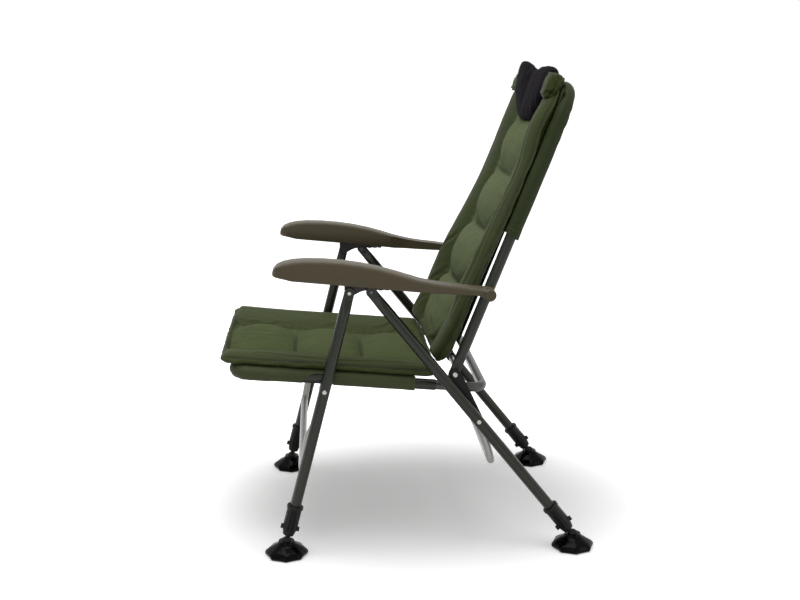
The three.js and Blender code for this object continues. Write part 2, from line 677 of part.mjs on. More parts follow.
// Each leg carries its collar, inner leg and foot, named for its corner
function legSet(parent, corner, way, offset, ball, top, boltAt, lean) {
  const bottom = ball + collarTop - collarGrip;
  const shift = [way * legPlane, offset, 0];
  piece(parent, `${corner}_leg`, outerLeg(top, bottom, boltAt).translate(shift), finish.frame);
  piece(parent, `${corner}_inner_leg`, innerLeg(collarTop - collarGrip + innerOverlap)
    .translate([shift[0], shift[1], ball]), finish.frame);
  piece(parent, `${corner}_collar`, lockCollar()
    .translate([shift[0], shift[1], ball + collarTop]), finish.plastic);
  const foot = new THREE.Group();
  foot.position.set(way * legPlane, offset, ball);
  foot.rotation.x = -lean * deg;
  parent.add(foot);
  piece(foot, `${corner}_foot`, mudFoot(), finish.plastic);
}

for (const [side, way] of sides) {
  legSet(rear, `rear_${side}`, way, -rearLegOffset, rearBall, rearLegTop, -tieDown, rearLegLean);
  legSet(fore, `front_${side}`, way, 0, frontBall, frontLegTop, 0, -frontLegLean);

  // Hinge plate on the rear leg, with the main bolt and the leg bolt
  const hingePlate = plate(strap(-rearLegOffset, -tieDown, plateEnd, 0, 0, plateHead), way * plateInner, way * plateOuter)
    .subtract(pin(way * (plateInner - overrun), way * (plateOuter + overrun), 0, 0, holeRadius))
    .subtract(pin(way * (plateInner - overrun), way * (plateOuter + overrun), -rearLegOffset, -tieDown, holeRadius));
  piece(rear, `hinge_plate_${side}`, hingePlate, finish.plastic);
  piece(rear, `main_bolt_${side}`,
    bolt(way, framePlane - pressedHalf - clearance, plateOuter + clearance, 0, 0, mainHead), finish.steel);
  piece(rear, `plate_bolt_${side}`,
    bolt(way, plateInner - clearance, legOuter, -rearLegOffset, -tieDown, sideHead), finish.steel);
  piece(rear, `rack_pin_${side}`,
    bolt(way, rackInner - clearance, legPlane + legEndHalf + clearance, -rearLegOffset, rearLegTop, rivetHead,
      rivetTail), finish.steel);

  // The front leg turns on a bolt in the seat's tab, and carries the armrest screw
  piece(seat, `front_bolt_${side}`, bolt(way, tabInner - clearance, legOuter, tabY, tabZ, sideHead), finish.steel);
  piece(fore, `arm_screw_${side}`,
    bolt(way, legPlane - legEndHalf, legPlane + legEndHalf + clearance, 0, frontLegTop, armHead, rivetTail),
    finish.steel);
}

// Cross bars: the tie rod between the hinge plates, and a bar between each pair of legs
const tieRadius = 7.5;
const tieEnd = plateInner - clearance - nutHeight - clearance * 2;
piece(rear, 'tie_rod', pin(-tieEnd, tieEnd, -rearLegOffset, -tieDown, tieRadius), finish.frame);

// A stretcher is a bar in a U whose arms run up along the inside of the legs. Its corners
// are given as places ahead of the leg's centreline and below its pivot.
const stretcherBend = 22;
const stretcherX = legInner - barRadius;
function stretcher(offset, corners) {
  const arm = corners.map(([ahead, down]) => new THREE.Vector3(stretcherX, offset - ahead, -down));
  const across = new THREE.Vector3(-1, 1, 1);
  return bentTube([...arm, ...arm.map((corner) => corner.clone().multiply(across)).reverse()],
    stretcherBend, barRadius, 12, 3);
}
const rearArmTop = 134;          // under the end of the hinge plate
const rearArmAhead = 3;
const rearBarAhead = 40;
const rearBarShare = 0.345;      // of the way from the arm's top down to the lock collar
const frontArmTop = 76;
const frontArmBow = 9;
const frontArmBowDown = 42;
const frontBarAhead = 4;
const frontBarShare = 0.61;
const between = (top, ball, share) => top + (-(ball + collarTop) - top) * share;
piece(rear, 'rear_stretcher', stretcher(-rearLegOffset, [[rearArmAhead, rearArmTop],
  [rearBarAhead, between(rearArmTop, rearBall, rearBarShare)]]), finish.bar);
piece(fore, 'front_stretcher', stretcher(0, [[0, frontArmTop], [frontArmBow, frontArmTop + frontArmBowDown],
  [frontBarAhead, between(frontArmTop, frontBall, frontBarShare)]]), finish.bar);

// Armrest: a side outline and a plan outline cut each other, then the underside is hollowed.
// The side outline runs from the tip over the crest to the hub, and back along the underside.
// Its places are shares of the reach ahead of the pivot and of the crest above it.
const armTipShares = [1, 0.64];
const armTopShares = [
  [[1, 0.85], [0.966, 0.99], [0.858, 1]],
  [[0.72, 1], [0.572, 0.88], [0.44, 0.63]],
  [[0.35, 0.45], [0.265, 0.325], [0.14, 0.257]],
  [[0.095, 0.21], [0.053, 0.176], [0.01, 0.176]],
];
const armUnderShares = [
  [[0.03, -0.0875], [0.032, -0.0125], [0.0636, 0]],
  [[0.212, 0.044], [0.381, 0.119], [0.53, 0.23]],
  [[0.66, 0.295], [0.79, 0.375], [0.9195, 0.45]],
];
const hubTurn = 125 * deg;
function armSide(inset, floor) {
  const reach = armFront - inset;
  const over = ([along, rise]) => [-reach * along, armCrest * rise - inset];
  const under = ([along, rise]) => [-reach * along, armCrest * rise + inset];
  const tip = [-reach * armTipShares[0], armCrest * armTipShares[1]];
  const shape = new THREE.Shape();
  shape.moveTo(...tip);
  for (const [a, b, c] of armTopShares) shape.bezierCurveTo(...over(a), ...over(b), ...over(c));
  if (floor === undefined) {
    shape.lineTo(0, armHub - inset);
    shape.absarc(0, 0, armHub - inset, Math.PI / 2, -hubTurn, true);
    for (const [a, b, c] of armUnderShares) shape.bezierCurveTo(...under(a), ...under(b), ...under(c));
  } else {
    shape.lineTo(over(armTopShares.at(-1)[2])[0], floor);
    shape.lineTo(tip[0], floor);
  }
  shape.closePath();
  return shape;
}

// The plan is broad in front, with a round nose, and narrows on the inside to pass the frame
const armNose = 24;
const armFlareShares = [0.424, 0.35, 0.36, 0.286];
function armPlan(inset, rearEnd) {
  const shape = new THREE.Shape();
  const inner = legPlane - armHalfWidth + inset;
  const outer = legPlane + armHalfWidth - inset;
  const narrow = armRearInner + inset;
  const front = -armFront + inset;
  const [flareStart, flareOut, flareIn, flareEnd] = armFlareShares.map((share) => -armFront * share);
  shape.moveTo(outer, rearEnd);
  shape.lineTo(outer, front + armNose);
  shape.bezierCurveTo(outer, front + armNose / 3, outer - armNose * 0.4, front, legPlane, front);
  shape.bezierCurveTo(inner + armNose * 0.4, front, inner, front + armNose / 3, inner, front + armNose);
  shape.lineTo(inner, flareStart);
  shape.bezierCurveTo(inner, flareOut, narrow, flareIn, narrow, flareEnd);
  shape.lineTo(narrow, rearEnd);
  shape.closePath();
  return shape;
}

const hollowBevel = 2;
function armBody(inset, floor, rearEnd) {
  const width = armHalfWidth * 2 - inset * 2;
  const round = floor === undefined ? armBevel : hollowBevel;
  const profile = new THREE.ExtrudeGeometry(armSide(inset + round, floor), {
    depth: width - round * 2, bevelEnabled: true, bevelThickness: round, bevelSize: round,
    bevelSegments: floor === undefined ? 2 : 1, curveSegments: floor === undefined ? 5 : 4,
  });
  profile.rotateX(Math.PI / 2);
  profile.rotateZ(Math.PI / 2);
  profile.translate(legPlane - armHalfWidth + inset + round, 0, 0);
  const plan = new THREE.ExtrudeGeometry(armPlan(inset, rearEnd), {
    depth: armCrest * 3, bevelEnabled: false, curveSegments: 6,
  });
  plan.translate(0, 0, -armCrest);
  return solid(profile).intersect(solid(plan));
}

function armHollow(gap) {
  return armBody(armWall + gap, -armCrest / 2, -armSolidRear);
}

// The bracket hangs in the hollow: its arched lower edge ends in a rack of notches for the pin
const notchPitch = 14;
const notchCount = 4;
const notchRadius = screwRadius + 0.6;
const bracketEye = 10.5;
const rackLip = 2.2;             // edge of the rack above the middle of its notches
const rackEndShare = 0.4;
const rackSlant = 6;
const armFrontScrew = (() => {
  const lean = frontLegLean * deg;
  return [-frontPivotAhead + frontLegTop * Math.sin(lean) - armY,
    hingeHeight - frontPivotDrop + frontLegTop * Math.cos(lean) - armZ];
})();
const rackPin = (() => {
  const lean = rearLegLean * deg;
  return [-rearLegOffset * Math.cos(lean) - rearLegTop * Math.sin(lean) - armY,
    hingeHeight - rearLegOffset * Math.sin(lean) + rearLegTop * Math.cos(lean) - armZ];
})();
function armBracket() {
  const [sy, sz] = armFrontScrew;
  const [py, pz] = rackPin;
  const edge = pz + rackLip;
  const rackEnd = py + notchPitch * (notchCount - rackEndShare);
  const shape = new THREE.Shape();
  shape.moveTo(sy - bracketEye, armCrest);
  shape.lineTo(sy - bracketEye, sz);
  shape.absarc(sy, sz, bracketEye, Math.PI, Math.PI * 1.75, false);
  shape.bezierCurveTo(sy + bracketEye * 1.5, sz - bracketEye * 0.3, py - notchPitch * 1.4, edge + rackLip,
    py - notchPitch / 2, edge);
  shape.lineTo(rackEnd, edge);
  shape.lineTo(rackEnd + rackSlant, edge + rackSlant * 2);
  shape.lineTo(rackEnd + rackSlant, armCrest);
  shape.closePath();
  let body = plate(shape, rackInner, rackOuter);
  for (let k = 0; k < notchCount; k += 1) {
    body = body.subtract(pin(rackInner - overrun, rackOuter + overrun, py + k * notchPitch, pz, notchRadius, 12));
  }
  return body.intersect(armHollow(clearance));
}

// A plain cap covers the outside of the hub; the bolt is screwed in from the frame's side
const capRadius = 12;
const capHeight = 1.6;
const armBoltReach = 18;
for (const [side, way] of sides) {
  const group = new THREE.Group();
  arms.add(group);
  const armOuter = legPlane + armHalfWidth;
  let shell = armBody(0, undefined, armHub + overrun).subtract(armHollow(0))
    .add(pin(armOuter - overrun, armOuter + capHeight, 0, 0, capRadius, 20))
    .subtract(pin(armRearInner - overrun, armRearInner + armBoltReach + clearance, 0, 0, holeRadius));
  let bracket = armBracket();
  if (way < 0) {
    shell = shell.mirror([1, 0, 0]);
    bracket = bracket.mirror([1, 0, 0]);
  }
  piece(group, `armrest_${side}`, shell, finish.arm);
  piece(group, `arm_bracket_${side}`, bracket, finish.bracket);
  const boltHead = framePlane - tubeRadius - clearance;
  piece(back, `arm_bolt_${side}`, join(
    pin(way * (boltHead - nutHeight / 2), way * (armRearInner + armBoltReach), -armPivotFore, armPivotUp, screwRadius),
    pin(way * (boltHead - nutHeight), way * boltHead, -armPivotFore, armPivotUp, sideHead, 6),
  ), finish.steel);
}

// The origin stands on the ground, in the middle of the footprint
const extent = new THREE.Box3().setFromObject(chair, true);
chair.position.y = -(extent.min.y + extent.max.y) / 2;

export default chair;
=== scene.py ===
import bpy
import bmesh
import json
import math
from functools import partial
from types import SimpleNamespace
from mathutils import Matrix, Vector, noise

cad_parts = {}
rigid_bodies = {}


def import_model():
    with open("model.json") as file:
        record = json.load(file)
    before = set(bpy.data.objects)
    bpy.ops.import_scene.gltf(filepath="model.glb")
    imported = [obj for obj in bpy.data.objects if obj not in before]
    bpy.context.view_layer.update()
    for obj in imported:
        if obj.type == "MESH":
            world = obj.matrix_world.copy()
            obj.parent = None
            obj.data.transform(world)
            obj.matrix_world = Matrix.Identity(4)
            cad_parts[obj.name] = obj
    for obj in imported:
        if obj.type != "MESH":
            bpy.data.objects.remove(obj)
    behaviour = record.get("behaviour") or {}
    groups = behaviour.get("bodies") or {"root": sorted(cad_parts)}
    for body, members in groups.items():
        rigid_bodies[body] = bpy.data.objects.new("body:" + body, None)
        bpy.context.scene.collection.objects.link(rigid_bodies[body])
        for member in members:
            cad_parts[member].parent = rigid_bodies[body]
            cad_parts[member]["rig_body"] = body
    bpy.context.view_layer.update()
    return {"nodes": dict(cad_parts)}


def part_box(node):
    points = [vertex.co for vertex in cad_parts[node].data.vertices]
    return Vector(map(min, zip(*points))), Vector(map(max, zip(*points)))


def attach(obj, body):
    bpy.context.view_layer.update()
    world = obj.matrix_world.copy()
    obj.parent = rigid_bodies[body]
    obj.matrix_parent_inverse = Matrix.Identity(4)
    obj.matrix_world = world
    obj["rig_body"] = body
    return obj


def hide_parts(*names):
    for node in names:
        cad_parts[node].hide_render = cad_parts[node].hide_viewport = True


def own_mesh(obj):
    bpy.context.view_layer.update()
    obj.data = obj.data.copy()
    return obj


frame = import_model()
nodes = frame["nodes"]


# Camera, at the photograph's angle: about level with the top of the back, and a little in
# front of square to the chair's left side.
def placed(name, data):
    piece = bpy.data.objects.new(name, data)
    bpy.context.scene.collection.objects.link(piece)
    return piece


camera_pitch = math.radians(11.87)
camera_yaw = math.radians(3.84)
looking = Vector((-math.cos(camera_pitch) * math.cos(camera_yaw),
                  math.cos(camera_pitch) * math.sin(camera_yaw), -math.sin(camera_pitch)))
camera_data = bpy.data.cameras.new("photo_camera")
camera_data.lens = 54.4
camera_data.sensor_width = 36.0
camera = placed("photo_camera", camera_data)
camera.location = (2.8695, -0.2006, 1.130)
camera.rotation_euler = looking.to_track_quat("-Z", "Y").to_euler()
bpy.context.scene.camera = camera
bpy.context.scene.view_settings.view_transform = "Standard"


# Studio: a wide overhead softbox, a fill on the camera's side, a rim from behind, an even
# world, and white paper on the floor that takes the chair's soft shadow and has a painted shadow round the
# chair as well.
def softbox(name, place, target, size, power):
    lamp = bpy.data.lights.new(name, "AREA")
    lamp.shape = "RECTANGLE"
    lamp.size, lamp.size_y = size
    lamp.energy = power
    holder = placed(name, lamp)
    holder.location = place
    holder.rotation_euler = (Vector(target) - Vector(place)).to_track_quat("-Z", "Y").to_euler()


softbox("overhead_softbox", (0.4, -0.3, 3.2), (0, 0.05, 0.4), (2.6, 2.2), 66)
softbox("side_softbox", (3.4, -1.5, 1.6), (0, 0, 0.5), (2.0, 2.2), 17)
softbox("rear_softbox", (1.6, 3.0, 1.8), (0, 0.1, 0.5), (0.8, 1.8), 12)


# Gives a node's inputs their values. A socket is linked, and a list links each of its sockets.
def feed(tree, node, inputs):
    for key, value in inputs.items():
        if isinstance(value, (list, bpy.types.NodeSocket)):
            for source in value if isinstance(value, list) else [value]:
                tree.links.new(source, node.inputs[key])
        else:
            node.inputs[key].default_value = value
    return node.outputs


def node_of(tree, kind, inputs=None, **settings):
    node = tree.nodes.new(kind)
    for setting, value in settings.items():
        setattr(node, setting, value)
    return feed(tree, node, inputs or {})


def step_of(tree, operation, *terms, clamp=False):
    return node_of(tree, "ShaderNodeMath", dict(enumerate(terms)), operation=operation, use_clamp=clamp)[0]


# White is what the camera, a reflection and a ray through the chair see.
def seen_share(tree):
    ray = node_of(tree, "ShaderNodeLightPath")
    share = step_of(tree, "ADD", ray["Is Camera Ray"], ray["Is Glossy Ray"])
    return step_of(tree, "ADD", share, ray["Is Transmission Ray"], clamp=True)


white = (1, 1, 1, 1)
world = bpy.data.worlds.new("studio_world")
bpy.context.scene.world = world
world.use_nodes = True
world.node_tree.nodes.clear()
node = partial(node_of, world.node_tree)
even = node("ShaderNodeBackground", {"Color": white, "Strength": 0.34})
bright = node("ShaderNodeBackground", {"Color": white, "Strength": 1.0})
choice = node("ShaderNodeMixShader", {0: seen_share(world.node_tree), 1: even[0], 2: bright[0]})
node("ShaderNodeOutputWorld", {"Surface": choice[0]})

floor_reach = 30.0
corners = [(x * floor_reach, y * floor_reach, 0) for x, y in ((-1, -1), (1, -1), (1, 1), (-1, 1))]
floor_mesh = bpy.data.meshes.new("studio_floor")
floor_mesh.from_pydata(corners, [], [(0, 1, 2, 3)])
paper = bpy.data.materials.new("studio_paper")
paper.use_nodes = True
paper.node_tree.nodes.clear()
node = partial(node_of, paper.node_tree)
# The paper glows for the camera and in reflections so that it reads white, but less in an ellipse round the
# chair: a painted shadow that deepens the one the lamps cast.
around = node("ShaderNodeMapping", {
    "Vector": node("ShaderNodeTexCoord")["Object"], "Location": (0.0, -0.05, 0.0),
    "Scale": (1.05, 1.0, 0.0)})
away = node("ShaderNodeVectorMath", {0: around["Vector"]}, operation="LENGTH")
painted_shadow_falloff = node("ShaderNodeMapRange", {
    "Value": away["Value"], "From Min": 0.25, "From Max": 1.0, "To Min": 0.22, "To Max": 1.0},
    interpolation_type="SMOOTHSTEP")
lift = step_of(paper.node_tree, "MULTIPLY", seen_share(paper.node_tree), painted_shadow_falloff["Result"])
matt = node("ShaderNodeBsdfDiffuse", {"Color": (0.86, 0.86, 0.86, 1)})
glow = node("ShaderNodeEmission", {"Color": white, "Strength": lift})
both = node("ShaderNodeAddShader", {0: matt[0], 1: glow[0]})
node("ShaderNodeOutputMaterial", {"Surface": both[0]})
floor_mesh.materials.append(paper)
studio_floor = placed("studio_floor", floor_mesh)


# Frame tubes: round steel tube, powder coated in a dark grey-green with an even gloss.
# Each is a smooth copy of its solid, so bends, pressed ends and drilled holes stay true.
def srgb(red, green, blue):
    def linear(level):
        level /= 255
        return level / 12.92 if level < 0.04045 else ((level + 0.055) / 1.055) ** 2.4
    return (linear(red), linear(green), linear(blue), 1)


def group_of(name, kind, ins, outs):
    group = bpy.data.node_groups.new(name, kind)
    for label, socket, value in ins:
        entry = group.interface.new_socket(
            name=label, in_out="INPUT", socket_type="NodeSocket" + socket)
        if value is not None:
            entry.default_value = value
    for label, socket in outs:
        group.interface.new_socket(name=label, in_out="OUTPUT", socket_type="NodeSocket" + socket)
    return group, node_of(group, "NodeGroupInput")


def noise_of(tree, vector, scale, detail=2.0, rough=0.5):
    return node_of(tree, "ShaderNodeTexNoise", {
        "Vector": vector, "Scale": scale, "Detail": detail, "Roughness": rough})["Fac"]


def mix_of(tree, mode, factor, first, second):
    return node_of(tree, "ShaderNodeMix", {0: factor, 6: first, 7: second}, data_type="RGBA",
                   blend_type=mode)[2]


# Use: fine marks, patches of a different gloss, and dust that gathers towards the ground.
mid_grey = (0.5, 0.5, 0.5, 1)
use_marks, given = group_of("use_marks", "ShaderNodeTree", [
    ("Colour", "Color", mid_grey), ("Worn Colour", "Color", mid_grey),
    ("Dust Colour", "Color", (0.3, 0.28, 0.24, 1)), ("Grain Scale", "Float", 900.0),
    ("Scuffs", "Float", 0.3), ("Dust", "Float", 0.2), ("Gloss", "Float", 0.3)],
    [("Colour", "Color"), ("Roughness", "Float"), ("Height", "Float")])
node, step = partial(node_of, use_marks), partial(step_of, use_marks)
spot = node("ShaderNodeTexCoord")["Object"]
patches = noise_of(use_marks, spot, 14.0, 3.0)
stretched = node("ShaderNodeMapping", {"Vector": spot, "Scale": (60.0, 60.0, 420.0)})
streaks = noise_of(use_marks, stretched["Vector"], 1.0, 4.0, 0.65)
scuffed = step("MULTIPLY", step("SUBTRACT", streaks, 0.6, clamp=True), 5.0, clamp=True)
scuffed = step("MULTIPLY", scuffed, step("MULTIPLY", patches, given["Scuffs"]))
level = node("ShaderNodeSeparateXYZ", {0: spot})
low = node("ShaderNodeMapRange", {"Value": level["Z"], "From Min": 0.30, "From Max": 0.02})
dusty = step("MULTIPLY", noise_of(use_marks, spot, 55.0, 5.0, 0.6), given["Dust"])
dusty = step("MULTIPLY", low["Result"], dusty)
tinted = mix_of(use_marks, "MIX", scuffed, given["Colour"], given["Worn Colour"])
dull = step("ADD", given["Gloss"], step("MULTIPLY", patches, 0.12))
dull = step("ADD", dull, step("MULTIPLY", dusty, 0.5), clamp=True)
node("NodeGroupOutput", {
    "Colour": mix_of(use_marks, "MIX", dusty, tinted, given["Dust Colour"]),
    "Roughness": step("ADD", dull, step("MULTIPLY", scuffed, 0.25), clamp=True),
    "Height": noise_of(use_marks, spot, given["Grain Scale"])})


def surfaced(name, effect, values, bump, shader):
    material = bpy.data.materials.new(name)
    material.use_nodes = True
    tree = material.node_tree
    marks = node_of(tree, "ShaderNodeGroup", values, node_tree=effect)
    raised = node_of(tree, "ShaderNodeBump", {**bump, "Height": marks["Height"]})
    feed(tree, tree.nodes["Principled BSDF"], {
        **shader, "Base Color": marks["Colour"], "Roughness": marks["Roughness"],
        "Normal": raised["Normal"]})
    return material


def hard_finish(name, colour, worn, gloss, grain_scale, grain_depth, scuffs=0.3, dust=0.2, metallic=0.0,
                coat=0.0, specular=0.5):
    return surfaced(name, use_marks, {
        "Colour": srgb(*colour), "Worn Colour": srgb(*worn), "Grain Scale": grain_scale, "Scuffs": scuffs,
        "Dust": dust, "Gloss": gloss}, {"Strength": 1.0, "Distance": grain_depth}, {
        "Metallic": metallic, "Coat Weight": coat, "Coat Roughness": 0.12, "Specular IOR Level": specular})


merge_within = 0.00002
flat_within = math.radians(0.5)


def smooth_copy(name, material, angle=38):
    source = nodes[name]
    mesh = source.data.copy()
    shape = bmesh.new()
    shape.from_mesh(mesh)
    bmesh.ops.remove_doubles(shape, verts=shape.verts, dist=merge_within)
    bmesh.ops.dissolve_limit(shape, angle_limit=flat_within, verts=shape.verts, edges=shape.edges)
    shape.to_mesh(mesh)
    shape.free()
    mesh.materials.clear()
    mesh.materials.append(material)
    mesh.shade_smooth()
    mesh.set_sharp_from_angle(angle=math.radians(angle))
    piece = placed(name + "_finished", mesh)
    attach(piece, source["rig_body"])
    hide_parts(name)
    return piece


sides = ("left", "right")
ends = ("front", "rear")
enamel = hard_finish("grey_green_enamel", (25, 29, 18), (80, 84, 72), 0.22, 1300.0, 0.00002, coat=0.06,
                     specular=0.24, dust=0.06)
for name in ["seat_front_tube", "back_tube"] + [f"{end}_{side}_leg" for end in ends for side in sides]:
    smooth_copy(name, enamel)

# Rear loop, tie rod and stretchers: thinner tube with a satin coating, dark grey on the loop
# and light grey on the others.
satin_grey = hard_finish("light_grey_coating", (150, 150, 145), (186, 186, 182), 0.3, 900.0, 0.00002,
                         scuffs=0.4, dust=0.05, metallic=0.3, coat=0.2)
loop_grey = hard_finish("dark_grey_coating", (58, 60, 56), (120, 120, 116), 0.28, 900.0, 0.00002, coat=0.1,
                        specular=0.35)
for name, finish, part in (("front_stretcher", satin_grey, "bar"), ("rear_stretcher", satin_grey, "bar"),
                           ("seat_rear_loop", loop_grey, "frame"), ("tie_rod", satin_grey, "frame")):
    smooth_copy(name, finish)

# Hinge plates, lock collars and mud feet: black nylon, moulded with a fine grain. The feet
# are the glossiest.
nylon = hard_finish("black_nylon", (10, 9, 10), (46, 45, 46), 0.38, 1600.0, 0.00005, dust=0.04,
                    specular=0.15)
foot_nylon = hard_finish("foot_nylon", (3, 3, 3), (34, 33, 32), 0.14, 700.0, 0.00003, dust=0.0,
                         specular=0.06)
for side in sides:
    smooth_copy(f"hinge_plate_{side}", nylon, 30)
    for end in ends:
        smooth_copy(f"{end}_{side}_collar", nylon, 30)
        smooth_copy(f"{end}_{side}_foot", foot_nylon, 24)

# Inner legs: enamelled tube that slides in the leg, with a black nylon neck and ball at the
# lower end, which the foot snaps over.
neck_top = 0.082
for side in sides:
    for end in ends:
        slider = smooth_copy(f"{end}_{side}_inner_leg", enamel)
        slider.data.materials.append(nylon)
        for face in slider.data.polygons:
            if face.center.z < neck_top:
                face.material_index = 1

# Armrests: hollow moulded plastic in a warm taupe, eggshell. The faces that look up take a
# lighter, glossier copy of the taupe: a painted highlight. The brackets below them are a darker purple
# brown.
taupe = hard_finish("taupe_plastic", (68, 60, 43), (104, 96, 80), 0.44, 1500.0, 0.00012, dust=0.0,
                    specular=0.25)
taupe_painted_highlight = hard_finish("taupe_with_painted_highlight", (74, 67, 50), (112, 104, 88), 0.4, 1500.0, 0.00012, dust=0.0,
                          specular=0.35)
dark_brown = hard_finish("bracket_plastic", (34, 24, 26), (70, 60, 60), 0.42, 1500.0, 0.00008, dust=0.0,
                         specular=0.3)
highlight_slope = 0.35
for side in sides:
    armrest = smooth_copy(f"armrest_{side}", taupe, 32)
    armrest.data.materials.append(taupe_painted_highlight)
    # Faces turned upwards get the lighter copy: a painted highlight from the overhead light.
    for face in armrest.data.polygons:
        face.material_index = 1 if face.normal.z > highlight_slope else 0
    smooth_copy(f"arm_bracket_{side}", dark_brown, 32)


# Bolts: zinc-plated steel. Geometry Nodes set a domed head with a cross recess on the outer
# end of each bolt given a head radius below, one tree for all of them, scaled by that radius.
def plain_mesh(piece):
    graph = bpy.context.evaluated_depsgraph_get()
    mesh = bpy.data.meshes.new_from_object(piece.evaluated_get(graph))
    piece.modifiers.clear()
    piece.data = mesh


def grown(name, mesh, tree, finish, body):
    piece = placed(name, mesh)
    maker = piece.modifiers.new("maker", "NODES")
    maker.node_group = tree
    maker[next(s.identifier for s in tree.interface.items_tree if s.name == "Finish")] = finish
    plain_mesh(piece)
    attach(piece, body)
    return piece


def set_out(tree, points, thing, axis, towards, size, finish):
    turned = node_of(tree, "FunctionNodeAlignRotationToVector", {"Vector": towards}, axis=axis)
    laid = node_of(tree, "GeometryNodeInstanceOnPoints", {
        "Points": points, "Instance": thing, "Rotation": turned[0], "Scale": size})
    real = node_of(tree, "GeometryNodeRealizeInstances", {0: laid[0]})
    painted = node_of(tree, "GeometryNodeSetMaterial", {"Geometry": real[0], "Material": finish})
    node_of(tree, "NodeGroupOutput", {0: painted[0]})


head_tree, given = group_of("cross_head", "GeometryNodeTree", [
    ("Geometry", "Geometry", None), ("Dome Height", "Float", 0.44), ("Slot Width", "Float", 0.30),
    ("Slot Length", "Float", 1.15), ("Finish", "Material", None)], [("Geometry", "Geometry")])
node = partial(node_of, head_tree)
ball = node("GeometryNodeMeshUVSphere", {"Segments": 28, "Rings": 12, "Radius": 1.0})
dome_scale = node("ShaderNodeCombineXYZ", {"X": 1.0, "Y": 1.0, "Z": given["Dome Height"]})
dome = node("GeometryNodeTransform", {"Geometry": ball["Mesh"], "Scale": dome_scale[0]})
slots = []
for along, across, height in (("X", "Y", 0.36), ("Y", "X", 0.361)):    # apart, so that no faces coincide
    slot_size = node("ShaderNodeCombineXYZ", {
        along: given["Slot Length"], across: given["Slot Width"], "Z": 0.5})
    bar = node("GeometryNodeMeshCube", {"Size": slot_size[0]})
    slots.append(node("GeometryNodeTransform", {"Geometry": bar["Mesh"], "Translation": (0, 0, height)})[0])
crossed = node("GeometryNodeMeshBoolean", {0: dome[0], 1: slots}, operation="DIFFERENCE")
radius_of = node("GeometryNodeInputNamedAttribute", {"Name": "head_radius"}, data_type="FLOAT")
facing_of = node("GeometryNodeInputNamedAttribute", {"Name": "facing"}, data_type="FLOAT_VECTOR")
set_out(head_tree, given["Geometry"], crossed["Mesh"], "Z", facing_of[0], radius_of[0], given["Finish"])

zinc = hard_finish("zinc_plate", (158, 158, 154), (120, 118, 112), 0.24, 2200.0, 0.00002, scuffs=0.6,
                   metallic=1.0)
head_sink = 0.36        # of the head's radius, into the bolt
head_fit = 0.97         # dome's radius, of the head's
dull_steel = hard_finish("dull_rivet", (84, 86, 82), (60, 58, 54), 0.4, 2200.0, 0.00002, metallic=0.9)
for bolt, head_radius in (("main_bolt", 0.0064), ("plate_bolt", 0.0052), ("front_bolt", 0.0052),
                          ("arm_bolt", None), ("arm_screw", 0.0042), ("rack_pin", None)):
    metal = dull_steel if bolt == "rack_pin" else zinc
    for side, way in (("left", 1), ("right", -1)):
        name = f"{bolt}_{side}"
        smooth_copy(name, metal, 40)
        if not head_radius:
            continue
        low_corner, high_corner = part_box(name)
        tip = high_corner[0] if way > 0 else low_corner[0]
        seed = bpy.data.meshes.new(name + "_place")
        seed.from_pydata([(tip - way * head_radius * head_sink, (low_corner[1] + high_corner[1]) / 2,
                           (low_corner[2] + high_corner[2]) / 2)], [], [])
        seed.attributes.new("head_radius", "FLOAT", "POINT").data[0].value = head_radius * head_fit
        seed.attributes.new("facing", "FLOAT_VECTOR", "POINT").data[0].vector = (way, 0, 0)
        grown(name + "_head", seed, head_tree, metal, nodes[name]["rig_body"])

# Cover cloth: a satin polyester in dark olive for the slings and the side rolls, and a fine
# twill in a lighter grey green for the cells. The weave lies on the piece's own UV, in metres.
# Near seams, creases and gathers the colour is mixed towards a near-black: painted shade.
olive = (0.1, 0.12, 0.05, 1)
weave, given = group_of("woven_cloth", "ShaderNodeTree", [
    ("Colour", "Color", olive), ("Second Colour", "Color", olive),
    ("Painted Shade Colour", "Color", (0.02, 0.03, 0.01, 1)), ("Threads", "Float", 900.0), ("Slant", "Float", 1.0),
    ("Mottle", "Float", 0.2)],
    [("Colour", "Color"), ("Height", "Float"), ("Roughness", "Float")])
node, step = partial(node_of, weave), partial(step_of, weave)
flat_cut = node("ShaderNodeUVMap", uv_map="cut")[0]
flat = node("ShaderNodeSeparateXYZ", {0: flat_cut})
slanted = step("ADD", flat["X"], step("MULTIPLY", flat["Y"], given["Slant"]))
rib = step("SINE", step("MULTIPLY", slanted, given["Threads"]))
cross = step("SINE", step("MULTIPLY", flat["Y"], step("MULTIPLY", given["Threads"], 1.7)))
woven = step("ADD", step("MULTIPLY", rib, 0.36), step("MULTIPLY", cross, 0.14))
fine = noise_of(weave, flat_cut, 260.0, 3.0)
broad = noise_of(weave, flat_cut, 9.0, 3.0, 0.55)
twilled = node("ShaderNodeAttribute", attribute_name="twill")["Fac"]
# Painted shade: a per-point share, set in seams, creases and gathers, that darkens the colour.
stitched = node("ShaderNodeAttribute", attribute_name="painted_seam_shade")["Fac"]
tinted = mix_of(weave, "MIX", twilled, given["Colour"], given["Second Colour"])
tone = node("ShaderNodeMapRange", {
    "Value": broad, "From Min": 0.25, "From Max": 0.75, "To Min": step("SUBTRACT", 1.0, given["Mottle"]),
    "To Max": step("ADD", 1.0, given["Mottle"])})
shade = step("MULTIPLY", tone["Result"], step("ADD", 1.0, step("MULTIPLY", woven, 0.16)))
grey = node("ShaderNodeCombineColor", dict.fromkeys(("Red", "Green", "Blue"), shade))
tinted = mix_of(weave, "MULTIPLY", 1.0, tinted, grey[0])
rough = step("ADD", 0.52, step("MULTIPLY", twilled, 0.3))
node("NodeGroupOutput", {
    "Colour": mix_of(weave, "MIX", step("MULTIPLY", stitched, 0.8), tinted, given["Painted Shade Colour"]),
    "Height": step("ADD", woven, step("MULTIPLY", fine, 0.5)),
    "Roughness": step("ADD", rough, step("MULTIPLY", broad, 0.12))})
